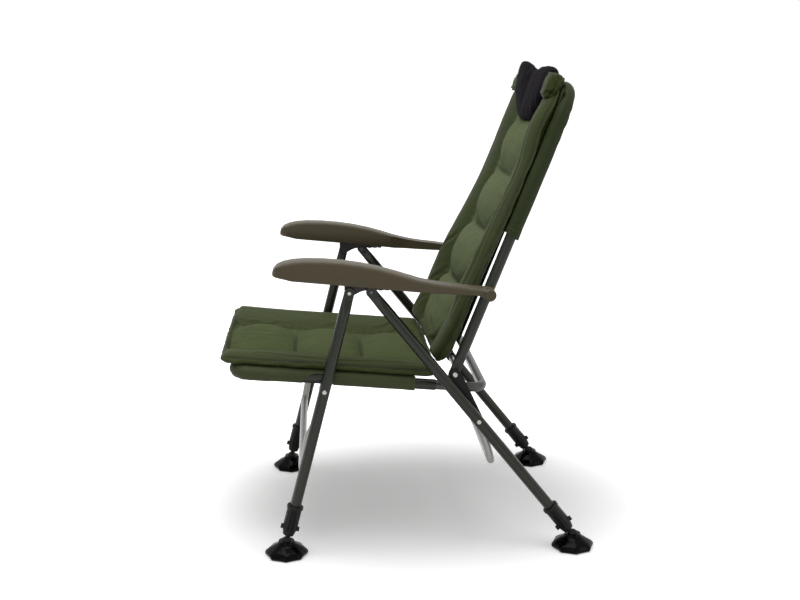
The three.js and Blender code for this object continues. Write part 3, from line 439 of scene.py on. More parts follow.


# The third colour is the near-black of the painted shade in seams, creases and gathers.
def cloth_finish(name, colour, second, painted_shade_colour, threads, slant, mottle, depth, sheen):
    return surfaced(name, weave, {
        "Colour": srgb(*colour), "Second Colour": srgb(*second), "Painted Shade Colour": srgb(*painted_shade_colour),
        "Threads": threads, "Slant": slant, "Mottle": mottle}, {"Strength": 0.8, "Distance": depth}, {
        "Sheen Weight": sheen, "Sheen Roughness": 0.4, "Sheen Tint": srgb(150, 160, 120),
        "Specular IOR Level": 0.12})


# Slings: one sheet of satin each, doubled back and sewn into sleeves round the tubes. The
# sleeves are swept round the frame's bends with small gathers there, and hemmed at both ends.
# Places are given from the main pivot, along the seat's slope or up the back.
seat_turn = Matrix.Rotation(math.radians(-5.0), 4, "X")
back_turn = Matrix.Rotation(math.radians(-21.7), 4, "X")
hinge = Vector((0, 0.09615, 0.4116))
tube_half = 0.262
satin_wall = 0.0011
panel_wall = 0.0014
panel_slack = 0.0018


def seat_place(x, forward, height):
    return hinge + seat_turn @ Vector((x, -forward, height))


def back_place(x, up, fore):
    return hinge + back_turn @ Vector((x, -fore, up))


def piece_of(shape, name, *materials):
    bmesh.ops.recalc_face_normals(shape, faces=shape.faces)
    mesh = bpy.data.meshes.new(name)
    shape.to_mesh(mesh)
    shape.free()
    for material in materials:
        mesh.materials.append(material)
    return placed(name, mesh)


def rounded_path(start, far, corner, pitch=0.012, bend=10):
    straight = int((far - corner - start) / pitch)
    spots = [(tube_half, start + (far - corner - start) * k / straight, 1.0, 0.0) for k in range(straight)]
    for k in range(bend):
        nx, ny = math.cos(math.pi / 2 * k / bend), math.sin(math.pi / 2 * k / bend)
        spots.append((tube_half - corner + corner * nx, far - corner + corner * ny, nx, ny))
    count = int((tube_half - corner) / pitch)
    spots += [((tube_half - corner) * (1 - k / count), far, 0.0, 1.0) for k in range(count)]
    return spots + [(0.0, far, 0.0, 1.0)] + [(-x, y, -nx, ny) for x, y, nx, ny in reversed(spots)]


def sleeve_of(name, material, place, size, around=40):
    shape = bmesh.new()
    cut = shape.loops.layers.uv.new("cut")
    path = rounded_path(size.start, size.far, size.corner)
    radius, gather = size.radius, size.gather
    rings = []
    along = 0.0
    flats = {}
    for n, (x, y, nx, ny) in enumerate(path):
        if n:
            along += math.hypot(x - path[n - 1][0], y - path[n - 1][1])
        at_bend = math.exp(-((y - size.far + size.corner) / 0.05) ** 2)
        at_bend *= math.exp(-((abs(x) - tube_half) / 0.05) ** 2)
        to_hem = min(n, len(path) - 1 - n)
        ring = []
        for k in range(around):
            turn = 2 * math.pi * k / around
            out, rise = math.cos(turn), math.sin(turn)
            soft = noise.noise(Vector((along * 16, turn * 1.2, radius * 40))) * gather
            soft += at_bend * gather * 1.1 * math.sin(along * 2 * math.pi / 0.017 + 1.3 * math.sin(turn))
            soft += gather * math.sin(turn * 4 + 2.5 * noise.noise(Vector((along * 3, 1.0, radius * 40))))
            soft += size.fullness * at_bend * max(0.0, out) * (1.0 - 0.2 * rise)
            wide = radius + soft + (0.0004 if to_hem < 2 else 0.0)
            slip = size.slant * (0.5 - 0.5 * rise) if to_hem < 3 else 0.0
            spot = place(x + nx * out * wide, y + ny * out * wide - slip, size.level + rise * wide)
            vertex = shape.verts.new(spot)
            flats[vertex] = (along, turn * radius)
            ring.append(vertex)
        rings.append(ring)
    for a, b in zip(rings, rings[1:]):
        for k in range(around):
            m = (k + 1) % around
            face = shape.faces.new((a[k], b[k], b[m], a[m]))
            for loop in face.loops:
                u, v = flats[loop.vert]
                loop[cut].uv = (u, 2 * math.pi * radius if m == 0 and loop.vert in (a[m], b[m]) else v)
    piece = piece_of(shape, name, material)
    wall = piece.modifiers.new("wall", "SOLIDIFY")
    wall.thickness = satin_wall
    wall.offset = -1.0
    plain_mesh(piece)
    return piece


# An arched opening in the sleeve's underside, where the tab for the front leg comes through.
def open_arch(sleeve, place, size, way, along, radius=0.026):
    shape = bmesh.new()
    bmesh.ops.create_cone(shape, cap_ends=True, segments=40, radius1=radius, radius2=radius, depth=0.05)
    bmesh.ops.scale(shape, vec=(1.0, 1.35, 1.0), verts=shape.verts)
    turn = Matrix.Rotation(math.pi / 2, 4, "Y")
    turn.translation = place(way * (tube_half + 0.0245), along, size.level - size.radius)
    bmesh.ops.transform(shape, matrix=turn, verts=shape.verts)
    cutter = piece_of(shape, "arch_cut")
    slit = sleeve.modifiers.new("slit", "BOOLEAN")
    slit.operation = "DIFFERENCE"
    slit.object = cutter
    slit.solver = "EXACT"
    plain_mesh(sleeve)
    bpy.data.objects.remove(cutter)


# The panels between the sleeves, doubled sheets with a little slack in their middle. Each is
# (half width, lower end, upper end, level).
def add_panels(piece, place, panels, columns=44):
    shape = bmesh.new()
    shape.from_mesh(piece.data)
    cut = shape.loops.layers.uv.verify()
    for side, low, high, level in panels:
        rows = max(8, round((high - low) / 0.012))
        sheets = []
        for thickness in (0.0, -panel_wall):
            grid = []
            for j in range(rows + 1):
                y = low + (high - low) * j / rows
                row = []
                for i in range(columns + 1):
                    x = side * (2 * i / columns - 1)
                    slack = max(0.0, 1 - (x / side) ** 2) * max(0.0, 1 - (2 * j / rows - 1) ** 6)
                    ripple = noise.noise(Vector((x * 9, y * 14, 3.0))) * 0.0006
                    height = level + thickness + (ripple - panel_slack) * slack
                    row.append((shape.verts.new(place(x, y, height)), x, y))
                grid.append(row)
            sheets.append(grid)
        quads = []
        for grid, order in ((sheets[0], 1), (sheets[1], -1)):
            for a, b in zip(grid, grid[1:]):
                quads += [[a[i], a[i + 1], b[i + 1], b[i]][::order] for i in range(columns)]
        rim = [(0, i) for i in range(columns)] + [(j, columns) for j in range(rows)]
        rim += [(rows, i) for i in range(columns, 0, -1)] + [(j, 0) for j in range(rows, 0, -1)]
        for n, (j, i) in enumerate(rim):
            q, p = rim[(n + 1) % len(rim)]
            quads.append([sheets[1][j][i], sheets[1][q][p], sheets[0][q][p], sheets[0][j][i]])
        for corners in quads:
            face = shape.faces.new([c[0] for c in corners])
            face.smooth = True
            for loop, c in zip(face.loops, corners):
                loop[cut].uv = c[1:]
    bmesh.ops.recalc_face_normals(shape, faces=shape.faces)
    shape.to_mesh(piece.data)
    shape.free()
    piece.data.shade_smooth()
    piece.data.set_sharp_from_angle(angle=math.radians(50))


seat_satin = cloth_finish("seat_sling_cloth", (60, 66, 42), (60, 66, 42), (22, 26, 14), 3200.0, 0.0, 0.14,
                          0.0001, 0.05)
seat_sleeve = SimpleNamespace(start=0.086, far=0.484, corner=0.030, level=-0.030, radius=0.0155,
                              gather=0.0005, slant=0.0, fullness=0.004)
tab_forward = 0.3030
seat_sling = sleeve_of("seat_sling_sewn", seat_satin, seat_place, seat_sleeve)
for way in (1, -1):
    open_arch(seat_sling, seat_place, seat_sleeve, way, tab_forward)
add_panels(seat_sling, seat_place, [(0.2590, 0.088, 0.482, -0.0146)])
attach(seat_sling, "seat")
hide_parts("seat_sling")

back_satin = cloth_finish("back_sling_cloth", (40, 48, 24), (40, 48, 24), (16, 20, 8), 3200.0, 0.0, 0.16,
                          0.0001, 0.05)
back_sleeve = SimpleNamespace(start=0.337, far=0.672, corner=0.070, level=-0.0010, radius=0.0164,
                              gather=0.0009, slant=0.008, fullness=0.0)
back_sling = sleeve_of("back_sling_sewn", back_satin, back_place, back_sleeve)
add_panels(back_sling, back_place, [(0.2590, 0.337, 0.670, 0.0148), (0.2455, 0.062, 0.337, 0.0148)])
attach(back_sling, "back")
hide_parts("back_sling")


# Pads: two foam rolls along the sides and puffed cells between them, sewn through to the
# cover. Blender's Cloth fills them: the stitched lines are held and the cover is blown up.
def limited(value):
    return min(1.0, max(0.0, value))


def eased(value):
    part = limited(value)
    return part * part * (3 - 2 * part)


# The shape of a pad's top, worked out from its sizes.
class PadTop:
    def __init__(self, size, channels):
        self.size = size
        self.stops = [size.near] + channels + [size.far]
        self.xs = self.stations([-size.half, -size.seam, size.seam, size.half])
        self.ys = self.stations(self.stops)

    def stations(self, stops):
        out = [stops[0]]
        for low, high in zip(stops, stops[1:]):
            count = max(2, round(abs(high - low) / self.size.step))
            out += [low + (high - low) * (k + 1) / count for k in range(count)]
        return out

    def width_at(self, y):
        size = self.size
        width = size.half
        for depth, corner in ((y - size.near, size.near_corner), (size.far - y, size.far_corner)):
            short = max(0.0, corner - depth)
            width -= corner - math.sqrt(max(0.0, corner * corner - short * short))
        return width

    def swell_at(self, x, y):
        stops = self.stops
        cell = max(i for i in range(len(stops) - 1) if y >= stops[i] - 1e-9 or i == 0)
        part = limited((y - stops[cell]) / (stops[cell + 1] - stops[cell]))
        return max(0.0, 1 - (abs(x) / self.size.seam) ** 2.8 - abs(2 * part - 1) ** 2.8) ** 0.5

    def height_at(self, x, y):
        size = self.size
        across = abs(x)
        if across <= size.seam:
            return size.pinched + size.puff * self.swell_at(x, y)
        part = (across - size.seam) / (size.half - size.seam)
        if part < size.crest:
            rise = size.ramp * part / size.crest
            rise += (1 - size.ramp) * math.sin(math.pi / 2 * part / size.crest)
            return size.pinched + (size.roll - size.pinched) * rise
        fall = math.sqrt(max(0.0, 1 - ((part - size.crest) / (1 - size.crest)) ** 2.2))
        return size.crease + (size.roll - size.crease) * fall

    # How far the pillow presses the cover down, from 0 to 1.
    def pressed_at(self, x, y):
        if not self.size.pillow:
            return 0.0
        return eased((y - self.size.pillow - 0.045 * min(1.0, abs(x) / 0.16) ** 3) / 0.02)


def quilted_pad(name, place, size, channels, material):
    top = PadTop(size, channels)
    half, near, far, seam, xs, ys = size.half, size.near, size.far, size.seam, top.xs, top.ys
    shape = bmesh.new()
    twill, painted_seam_shade, across_at, along_at, wall_at = (
        shape.verts.layers.float.new(label) for label in ("twill", "painted_seam_shade", "across", "along", "wall"))
    cut = shape.loops.layers.uv.new("cut")

    def corner_of(spot, x, y, wall, shade_share):
        vertex = shape.verts.new(spot)
        vertex[across_at], vertex[along_at], vertex[wall_at] = x, y, wall
        vertex[twill] = 1.0 if abs(x) < seam + size.step * 0.5 and wall == 0 else 0.0
        vertex[painted_seam_shade] = shade_share
        return vertex

    def face_of(corners):
        face = shape.faces.new(corners)
        for loop in face.loops:
            x, beyond = loop.vert[across_at], loop.vert[wall_at]
            loop[cut].uv = (x + math.copysign(beyond, x), loop.vert[along_at] + beyond)

    grid = []
    held = []
    for y in ys:
        wide_share = top.width_at(y) / half
        row = []
        for x in xs:
            to_end = min(y - near, far - y)
            shoulder = math.sqrt(max(0.0, 1 - max(0.0, 1 - to_end / size.rim) ** 2))
            height = size.crease + (top.height_at(x, y) - size.crease) * shoulder
            pressed = top.pressed_at(x, y)
            height += (0.0035 - height) * 0.9 * pressed
            on_side_seam = abs(abs(x) - seam) < 1e-6
            on_channel = abs(x) < seam and any(abs(y - c) < 1e-6 for c in channels)
            shift = 0.0
            if abs(x) < seam:
                to_channel = min(abs(y - c) for c in channels)
                shift = size.bow * (1 - (abs(x) / seam) ** 4)
                shift *= max(0.0, 1 - to_channel / 0.05)
                shift *= min(1.0, to_end / 0.03)
            # Painted shade along the side seams and across the channels; on a channel it is darkest at
            # size.dark of the way out to the side seam.
            shade_share = 0.55 if on_side_seam else 0.0
            if on_channel:
                shade_share = max(0.0, 1 - (x / seam - size.dark) ** 2)
            wide = x * wide_share
            row.append(corner_of(place(wide, y + shift, size.base + height), wide, y, 0.0, shade_share))
            on_edge = min(half - abs(x), to_end) < 1e-6
            if on_edge or on_side_seam or on_channel or pressed > 0.3 or (
                    abs(x) < seam and top.swell_at(x, y) < 0.05):
                held.append(row[-1])
        grid.append(row)
    for lower, upper in zip(grid, grid[1:]):
        for i in range(len(xs) - 1):
            face_of((lower[i], lower[i + 1], upper[i + 1], upper[i]))
    # The rim: a second roll that goes from the crease down to the sling
    nx, ny = len(xs) - 1, len(ys) - 1
    loop = [(i, 0) for i in range(nx)] + [(nx, j) for j in range(ny)]
    loop += [(i, ny) for i in range(nx, 0, -1)] + [(0, j) for j in range(ny, 0, -1)]
    plan = [Vector((xs[i] * top.width_at(ys[j]) / half, ys[j])) for i, j in loop]
    rows = [[grid[j][i] for i, j in loop]]
    for bulge, level in ((0.9, 0.80), (1.0, 0.52), (0.7, 0.24), (-0.3, 0.0)):
        ring = []
        for n, spot in enumerate(plan):
            along = plan[(n + 1) % len(plan)] - plan[n - 1]
            out = Vector((along.y, -along.x)).normalized()
            spot = spot + out * size.lip * bulge
            place_at = place(spot.x, spot.y, size.base + size.crease * level)
            ring.append(corner_of(place_at, plan[n].x, plan[n].y, size.crease * (1 - level) + 0.001, 0.0))
        rows.append(ring)
    for upper, lower in zip(rows, rows[1:]):
        for n in range(len(loop)):
            m = (n + 1) % len(loop)
            face_of((upper[m], upper[n], lower[n], lower[m]))
    held += rows[-1]
    under = {spot: rows[-1][n] for n, spot in enumerate(loop)}
    for j in range(1, ny):
        for i in range(1, nx):
            wide = xs[i] * top.width_at(ys[j]) / half
            under[(i, j)] = corner_of(place(wide, ys[j], size.base), wide, ys[j], 0.02, 0.0)
            held.append(under[(i, j)])
    for j in range(ny):
        for i in range(nx):
            face_of((under[(i, j)], under[(i, j + 1)], under[(i + 1, j + 1)], under[(i + 1, j)]))
    # Painted shade in the crease between the top and the rim.
    for vertex in rows[0]:
        vertex[painted_seam_shade] = 0.9
    shape.verts.index_update()
    pins = [v.index for v in held]
    piece = piece_of(shape, name, material)
    rolls = [[j * len(xs) + i for j in range(len(ys))] for i, x in enumerate(xs) if abs(x) > seam + 1e-6]
    return piece, pins, rolls


# Fills the pad, with no point moving further than most. The rolls' foam is one piece, so what
# the cover moves by is evened out along each roll.
def blow_up(piece, pins, rolls, most, frames=20, reach=9):
    piece.vertex_groups.new(name="stitched").add(pins, 1.0, "REPLACE")
    before = [v.co.copy() for v in piece.data.vertices]
    cloth = piece.modifiers.new("fill", "CLOTH")
    for setting, value in dict(
            vertex_group_mass="stitched", use_pressure=True, uniform_pressure_force=3.5, shrink_min=-0.014,
            quality=6, tension_stiffness=12, compression_stiffness=12, shear_stiffness=4,
            bending_stiffness=0.2).items():
        setattr(cloth.settings, setting, value)
    cloth.settings.effector_weights.gravity = 0
    cloth.collision_settings.use_collision = False
    cloth.collision_settings.use_self_collision = False
    cloth.point_cache.frame_start = 1
    cloth.point_cache.frame_end = frames
    for frame_number in range(1, frames + 1):
        bpy.context.scene.frame_set(frame_number)
    graph = bpy.context.evaluated_depsgraph_get()
    after = [v.co.copy() for v in piece.evaluated_get(graph).data.vertices]
    piece.modifiers.remove(cloth)
    bpy.context.scene.frame_set(1)
    shifts = []
    for old, new in zip(before, after):
        shift = new - old
        shifts.append(shift * (most / shift.length) if shift.length > most else shift)
    evened = list(shifts)
    for line in rolls:
        for n, spot in enumerate(line[1:-1], 1):
            near_by = line[max(1, n - reach):min(len(line) - 1, n + reach + 1)]
            evened[spot] = sum((shifts[k] for k in near_by), Vector()) / len(near_by)
    for vertex, old, shift in zip(piece.data.vertices, before, evened):
        vertex.co = old + shift
    piece.vertex_groups.clear()


def refine(piece):
    finer = piece.modifiers.new("finer", "SUBSURF")
    finer.levels = 1
    finer.render_levels = 1
    plain_mesh(piece)
    piece.data.shade_smooth()


def flat_places(mesh):
    return [[d.value for d in mesh.attributes[label].data] for label in ("across", "along", "wall")]


# A fold is (across, along, across, along, depth, width) between two places on the pad. The
# cover also puckers beside each seam, where the thread draws it in.
def wrinkle(piece, folds, seam, channels, pucker):
    mesh = piece.data
    across, along, wall = flat_places(mesh)
    normals = [v.normal.copy() for v in mesh.vertices]
    for n, vertex in enumerate(mesh.vertices):
        if wall[n] > 0.015:
            continue
        x, y = across[n], along[n]
        depth = 0.0
        for x0, y0, x1, y1, deep, width in folds:
            dx, dy = x1 - x0, y1 - y0
            part = ((x - x0) * dx + (y - y0) * dy) / (dx * dx + dy * dy)
            if part < -0.1 or part > 1.1:
                continue
            part = limited(part)
            bend = 0.004 * math.sin(part * 7.0 + x0 * 60)
            gap = math.hypot(x - x0 - dx * part + bend, y - y0 - dy * part)
            if gap < width * 3:
                depth -= deep * math.exp(-(gap / width) ** 2) * math.sin(math.pi * (0.08 + 0.84 * part))
                depth += deep * 0.45 * math.exp(-((gap - width * 1.7) / width) ** 2)
        if wall[n] < 0.001:
            beside = abs(abs(x) - seam)
            if beside < 0.05:
                wander = 3 * noise.noise(Vector((x * 7, y * 9, 0)))
                ripple = math.sin(2 * math.pi * (y + 0.3 * abs(x)) / 0.019 + wander)
                depth += pucker * ripple * math.exp(-(beside / 0.016) ** 2)
            if abs(x) < seam:
                to_channel = min(abs(y - c) for c in channels)
                ripple = math.sin(2 * math.pi * x / 0.021 + 3 * noise.noise(Vector((x * 9, y * 5, 2))))
                depth += pucker * 0.8 * ripple * math.exp(-(to_channel / 0.02) ** 2)
        depth += 0.0007 * noise.noise(Vector((x * 22, y * 30, 5.0)))
        vertex.co += normals[n] * depth


seat_cover = cloth_finish("seat_pad_cover", (56, 64, 32), (72, 81, 50), (16, 21, 7), 2600.0, 1.0, 0.10,
                          0.00022, 0.04)
roll_seam = 0.138
seat_channels = [0.196, 0.352]
seat_base = -0.0138


# The seat's cover has drifted to the left, most of all along its middle.
def drifted_place(x, forward, height):
    return seat_place(x + 0.034 * (1 - (x / 0.26) ** 2), forward, height)


seat_pad, pins, rolls = quilted_pad("seat_pad_quilted", drifted_place, SimpleNamespace(
    half=0.260, near=0.044, far=0.514, seam=roll_seam, base=seat_base, step=0.0062, pinched=0.001,
    crease=0.0145, roll=0.0235, puff=0.015, rim=0.010, lip=0.009, near_corner=0.026, far_corner=0.010,
    crest=0.86, ramp=0.75, bow=0.007, dark=0.3, pillow=None), seat_channels, seat_cover)
blow_up(seat_pad, pins, rolls, 0.008)
refine(seat_pad)
wrinkle(seat_pad, [
    (-0.160, 0.50, -0.146, 0.44, 0.004, 0.005), (-0.145, 0.44, -0.155, 0.38, 0.003, 0.005),
    (-0.15, 0.30, -0.165, 0.24, 0.0025, 0.006), (-0.16, 0.16, -0.20, 0.09, 0.003, 0.006),
    (-0.145, 0.13, -0.18, 0.07, 0.0025, 0.005), (0.165, 0.50, 0.170, 0.22, 0.0024, 0.005),
    (0.205, 0.49, 0.212, 0.10, 0.0026, 0.005), (0.240, 0.44, 0.243, 0.07, 0.0022, 0.005),
    (0.15, 0.30, 0.16, 0.09, 0.002, 0.005), (-0.07, 0.505, -0.04, 0.405, 0.0026, 0.006),
    (-0.025, 0.505, -0.005, 0.395, 0.0030, 0.007), (0.02, 0.505, 0.03, 0.385, 0.0028, 0.006),
    (0.07, 0.505, 0.06, 0.380, 0.0024, 0.006), (-0.02, 0.185, 0.09, 0.12, 0.0016, 0.006)],
    roll_seam, seat_channels, 0.0007)
seat_flat = dict(axis=tuple(seat_turn @ Vector((0, 0, 1))), anchor=tuple(seat_place(0, 0.3, seat_base)),
                 keep=0.12)
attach(seat_pad, "seat")
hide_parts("seat_pad")
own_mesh(seat_pad)

back_cover = cloth_finish("back_pad_cover", (48, 56, 26), (86, 95, 66), (16, 21, 7), 2600.0, 1.0, 0.12,
                          0.00022, 0.04)
back_channels = [0.175, 0.315, 0.455]
pillow_seam = 0.590
back_base = 0.0165


# The lower half of the back pad sags forward, more on the right side, and its front edge comes
# down to the seat. The left roll stands fuller beside the pillow.
def bowed_place(x, up, fore):
    sag = 0.018 * eased((0.45 - up) / 0.30) * (1 - 1.2 * x)
    front = limited((fore - back_base) / 0.010)
    low = limited((0.10 - up) / 0.075)
    sag = sag * (0.4 + 0.6 * front) + 0.011 * low * front
    up -= 0.021 * low * low * front
    full = 0.007 * math.exp(-((up - 0.575) / 0.055) ** 2) * limited((x - 0.10) / 0.07)
    full *= limited((fore - back_base) / 0.015)
    return back_place(x, up, fore + sag + full)


back_pad, pins, rolls = quilted_pad("back_pad_quilted", bowed_place, SimpleNamespace(
    half=0.255, near=0.024, far=0.664, seam=roll_seam, base=back_base, step=0.0066, pinched=0.003,
    crease=0.008, roll=0.020, puff=0.014, rim=0.014, lip=0.009, near_corner=0.030, far_corner=0.05,
    crest=0.60, ramp=0.2, bow=-0.006, dark=0.0, pillow=pillow_seam),
    back_channels + [pillow_seam], back_cover)
blow_up(back_pad, pins, rolls, 0.009)
refine(back_pad)
wrinkle(back_pad, [
    (0.212, 0.60, 0.222, 0.40, 0.0018, 0.006), (0.216, 0.42, 0.228, 0.12, 0.0022, 0.006),
    (0.17, 0.34, 0.20, 0.26, 0.0022, 0.006), (-0.16, 0.26, -0.20, 0.20, 0.003, 0.006),
    (-0.15, 0.16, -0.19, 0.10, 0.003, 0.006), (-0.15, 0.10, -0.20, 0.05, 0.003, 0.006),
    (-0.05, 0.600, -0.10, 0.545, 0.0022, 0.0045), (-0.02, 0.595, -0.06, 0.530, 0.0024, 0.0045),
    (0.01, 0.590, -0.02, 0.520, 0.0022, 0.0045), (0.04, 0.595, 0.02, 0.530, 0.0022, 0.0045),
    (0.07, 0.600, 0.06, 0.550, 0.0018, 0.0045), (-0.08, 0.11, 0.05, 0.07, 0.0022, 0.006),
    (-0.02, 0.08, 0.10, 0.05, 0.0022, 0.006)], roll_seam, back_channels, 0.0006)
back_flat = dict(axis=tuple(back_turn @ Vector((0, -1, 0))), anchor=tuple(back_place(0, 0.3, back_base)),
                 keep=0.12)
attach(back_pad, "back")
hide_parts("back_pad")
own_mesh(back_pad)

# Stitches: Geometry Nodes lay one thread bead at each pitch along the seams, on both pads and
# round the slings' hems.
stitch_tree, given = group_of("stitch_run", "GeometryNodeTree", [
    ("Geometry", "Geometry", None), ("Pitch", "Float", 0.0036), ("Stitch Length", "Float", 0.0026),
    ("Thread", "Float", 0.0010), ("Finish", "Material", None)], [("Geometry", "Geometry")])
node = partial(node_of, stitch_tree)
run = node("GeometryNodeMeshToCurve", {"Mesh": given["Geometry"]})
even_run = node("GeometryNodeResampleCurve", {"Curve": run["Curve"], "Length": given["Pitch"]},
                mode="LENGTH")
bead = node("GeometryNodeMeshUVSphere", {"Segments": 6, "Rings": 4, "Radius": 0.5})
bead_size = node("ShaderNodeCombineXYZ", {
    "X": given["Stitch Length"], "Y": given["Thread"], "Z": given["Thread"]})
tangent = node("GeometryNodeInputTangent")
set_out(stitch_tree, even_run["Curve"], bead["Mesh"], "X", tangent[0], bead_size[0], given["Finish"])
thread = hard_finish("sewing_thread", (78, 86, 58), (90, 96, 70), 0.5, 3000.0, 0.00002, dust=0.0,
                     specular=0.2)


on_seam = 0.0004
thread_proud = 0.0004


def seam_lines(mesh, channels):
    across, along, wall = flat_places(mesh)
    tops = [v for v in mesh.vertices if wall[v.index] < 0.001]
    lines = []
    for side in (-roll_seam, roll_seam):
        lines.append(sorted((v for v in tops if abs(across[v.index] - side) < on_seam),
                            key=lambda v: along[v.index]))
    for channel in channels:
        lines.append(sorted((v for v in tops if abs(along[v.index] - channel) < on_seam
                             and abs(across[v.index]) < roll_seam), key=lambda v: across[v.index]))
    return [[v.co + v.normal * thread_proud for v in line] for line in lines]


# A ring of thread round each sleeve, a little in from its end and a little proud of it.
def hem_rings(place, sleeve, inset, proud, steps=36):
    radius = sleeve.radius + proud
    turns = [2 * math.pi * k / steps for k in range(steps + 1)]
    return [[place(side * (tube_half + radius * math.cos(a)), sleeve.start + inset,
                   sleeve.level + radius * math.sin(a)) for a in turns] for side in (1, -1)]


def stitches_on(name, lines, body):
    mesh = bpy.data.meshes.new(name)
    spots, edges = [], []
    for line in lines:
        edges += [(len(spots) + k, len(spots) + k + 1) for k in range(len(line) - 1)]
        spots += line
    mesh.from_pydata(spots, edges, [])
    return grown(name, mesh, stitch_tree, thread, body)


for body, pad, channels, flatter in (("seat", seat_pad, seat_channels, seat_flat),
                                     ("back", back_pad, back_channels, back_flat)):
    stitches = stitches_on(f"{body}_pad_stitches", seam_lines(pad.data, channels), body)
    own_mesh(stitches)
stitches_on("seat_hem_stitches", hem_rings(seat_place, seat_sleeve, 0.008, 0.0008), "seat")
stitches_on("back_hem_stitches", hem_rings(back_place, back_sleeve, 0.011, 0.0010), "back")

# Headrest: a soft bow-shaped pillow in black fleece, pinched at its middle, with both ends
# gathered into a sleeve of the cover's own satin.
pile_group, given = group_of("fleece_pile", "ShaderNodeTree", [
    ("Colour", "Color", mid_grey), ("Second Colour", "Color", mid_grey)],
    [("Colour", "Color"), ("Height", "Float"), ("Roughness", "Float")])
node, step = partial(node_of, pile_group), partial(step_of, pile_group)
spot = node("ShaderNodeTexCoord")["Object"]
nap = noise_of(pile_group, spot, 45.0, 3.0, 0.6)
node("NodeGroupOutput", {
    "Colour": mix_of(pile_group, "MIX", nap, given["Colour"], given["Second Colour"]),
    "Height": noise_of(pile_group, spot, 700.0, 4.0, 0.7),
    "Roughness": step("ADD", 0.82, step("MULTIPLY", nap, 0.16))})
fleece = surfaced("black_fleece", pile_group, {
    "Colour": srgb(5, 4, 6), "Second Colour": srgb(20, 17, 22)}, {"Strength": 0.7, "Distance": 0.0006}, {
    "Sheen Weight": 0.02, "Sheen Roughness": 0.5, "Sheen Tint": srgb(150, 140, 150),
    "Specular IOR Level": 0.05})

# Half length share, lower and upper edge up the back, half depth, middle before the tubes, and
# how far the upper edge leans forward
pillow_rows = [(0.0, 0.5780, 0.697, 0.0160, 0.0340, 0.010), (0.12, 0.5790, 0.702, 0.0175, 0.0345, 0.012),
               (0.30, 0.583, 0.7095, 0.0200, 0.0345, 0.016), (0.45, 0.592, 0.7130, 0.0205, 0.0345, 0.017),
               (0.60, 0.614, 0.7130, 0.0200, 0.0350, 0.014), (0.70, 0.636, 0.707, 0.0165, 0.0355, 0.008),
               (0.755, 0.646, 0.696, 0.0125, 0.0345, 0.0), (0.80, 0.641, 0.694, 0.0165, 0.0325, 0.0),
               (0.88, 0.638, 0.695, 0.0190, 0.0315, 0.0), (0.96, 0.638, 0.695, 0.0190, 0.0315, 0.0),
               (1.0, 0.642, 0.691, 0.0165, 0.0320, 0.0)]
pillow_half = 0.232
pillow_rear = 0.0195
neck_share = 0.755      # of the half length, where the fleece is gathered into its pouch
pouch_share = 0.752     # where the pouch's satin starts
band_up = 0.652


def pillow_at(share):
    for low, high in zip(pillow_rows, pillow_rows[1:]):
        if share <= high[0]:
            part = eased((share - low[0]) / (high[0] - low[0]))
            return [a + (b - a) * part for a, b in zip(low[1:], high[1:])]
    return pillow_rows[-1][1:]


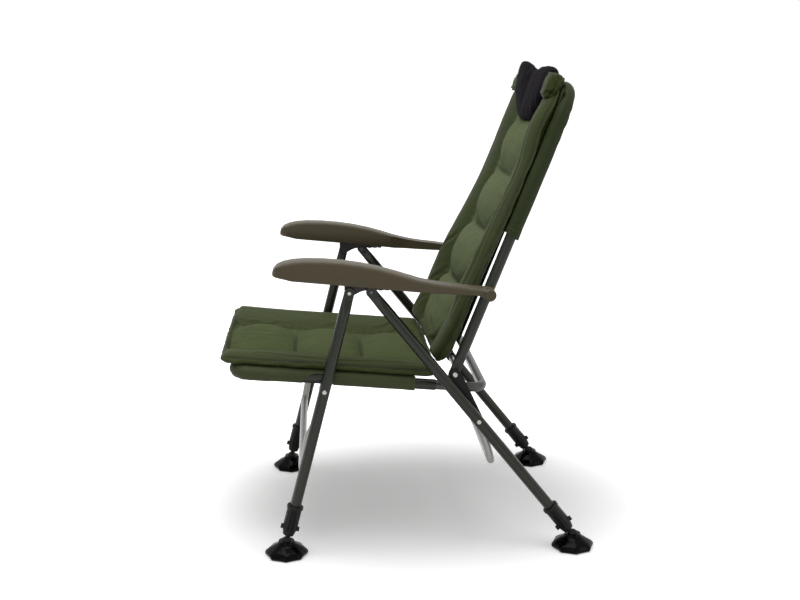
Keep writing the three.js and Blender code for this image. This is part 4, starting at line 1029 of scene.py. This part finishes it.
shape = bmesh.new()
twill = shape.verts.layers.float.new("twill")
painted_seam_shade = shape.verts.layers.float.new("painted_seam_shade")
cut = shape.loops.layers.uv.new("cut")
around = 56
count = 116
rings = []
for n in range(count + 1):
    x = pillow_half * (2 * n / count - 1)
    share = abs(x) / pillow_half
    lower, upper, deep, middle, lean = pillow_at(share)
    lean *= 0.6 - 3.0 * x
    if 0 < x and share < 0.75:
        middle, upper = middle - 0.005 * min(1.0, x / 0.08), upper - 0.002
    if x < 0 and share > 0.7:
        deep, middle, upper = deep * 0.8, middle + 0.001, upper - 0.014
    in_pouch = share > neck_share
    round_up, round_side = (0.45, 0.45) if in_pouch else (0.9, 0.8)
    ring = []
    for k in range(around):
        turn = 2 * math.pi * k / around
        side, rise = math.cos(turn), math.sin(turn)
        gathers = limited((share - 0.70) / 0.06) * 0.0010 * math.sin(
            turn * 9 + 2.0 * noise.noise(Vector((x * 30, turn, 1))))
        soft = 0.0010 * noise.noise(Vector((x * 18, side * 1.5, rise * 1.5)))
        pinch = math.exp(-(x / 0.03) ** 2) * 0.004 * max(0.0, side) * (1 - rise * rise)
        fold = 0.0030 * math.exp(-((x + 0.085 - 0.10 * rise) / 0.014) ** 2)
        fold *= max(0.0, side) * max(0.0, 0.3 + rise)
        high = (upper - lower) / 2 + gathers + soft
        thick = deep + gathers + soft - pinch + fold
        up = (lower + upper) / 2 + math.copysign(abs(rise) ** round_up, rise) * high
        fore = middle + math.copysign(abs(side) ** round_side, side) * thick
        fore = max(pillow_rear if share < neck_share else pillow_rear - 0.003, fore + lean * rise)
        vertex = shape.verts.new(back_place(x, up, fore))
        # Painted shade in the gathers at the pouch's neck and along its drawn-in band.
        band = math.exp(-((up - band_up) / 0.0028) ** 2) if share > 0.78 else 0.0
        vertex[painted_seam_shade] = max(math.exp(-((share - neck_share) / 0.014) ** 2), band) * 0.8
        ring.append((vertex, x, turn * 0.05))
    rings.append(ring)


def end_face(corners):
    face = shape.faces.new(corners)
    face.material_index = 1
    face.smooth = True
    for loop in face.loops:
        loop[cut].uv = (loop.vert.co.y, loop.vert.co.z)


for a, b in zip(rings, rings[1:]):
    for k in range(around):
        m = (k + 1) % around
        corners = (a[k], a[m], b[m], b[k])
        face = shape.faces.new([c[0] for c in corners])
        face.material_index = 1 if abs(a[k][1] + b[k][1]) / 2 > pouch_share * pillow_half else 0
        face.smooth = True
        for loop, c in zip(face.loops, corners):
            loop[cut].uv = c[1:]
# Each end is closed by a gathered face, with a fold up its middle and a drawn-in band below
for way, ring in ((-1, rings[0]), (1, rings[-1])):
    centre = sum((c[0].co for c in ring), Vector()) / around
    outer = [c[0] for c in ring]
    for share in (0.82, 0.6, 0.38, 0.18):
        inner = []
        for k, c in enumerate(ring):
            spot = centre + (c[0].co - centre) * share
            local = back_turn.transposed() @ (spot - hinge)
            up, fore = local.z, -local.y
            bulge = 0.005 * (1 - share * share)
            bulge -= 0.0050 * math.exp(-((fore - 0.031) / 0.0026) ** 2) * (1 if up > 0.655 else 0)
            bulge -= 0.0055 * math.exp(-((up - band_up) / 0.0026) ** 2)
            bulge += 0.0012 * math.sin(9 * 2 * math.pi * k / around) * share
            vertex = shape.verts.new(spot + Vector((way * bulge, 0, 0)))
            # Painted shade along the drawn-in band on the end faces.
            vertex[painted_seam_shade] = 0.7 * math.exp(-((up - band_up) / 0.0030) ** 2)
            inner.append(vertex)
        for k in range(around):
            m = (k + 1) % around
            end_face((outer[k], outer[m], inner[m], inner[k]))
        outer = inner
    end_face(outer)
pillow = piece_of(shape, "pillow_bow", fleece, back_cover)
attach(pillow, "back")
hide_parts("headrest")
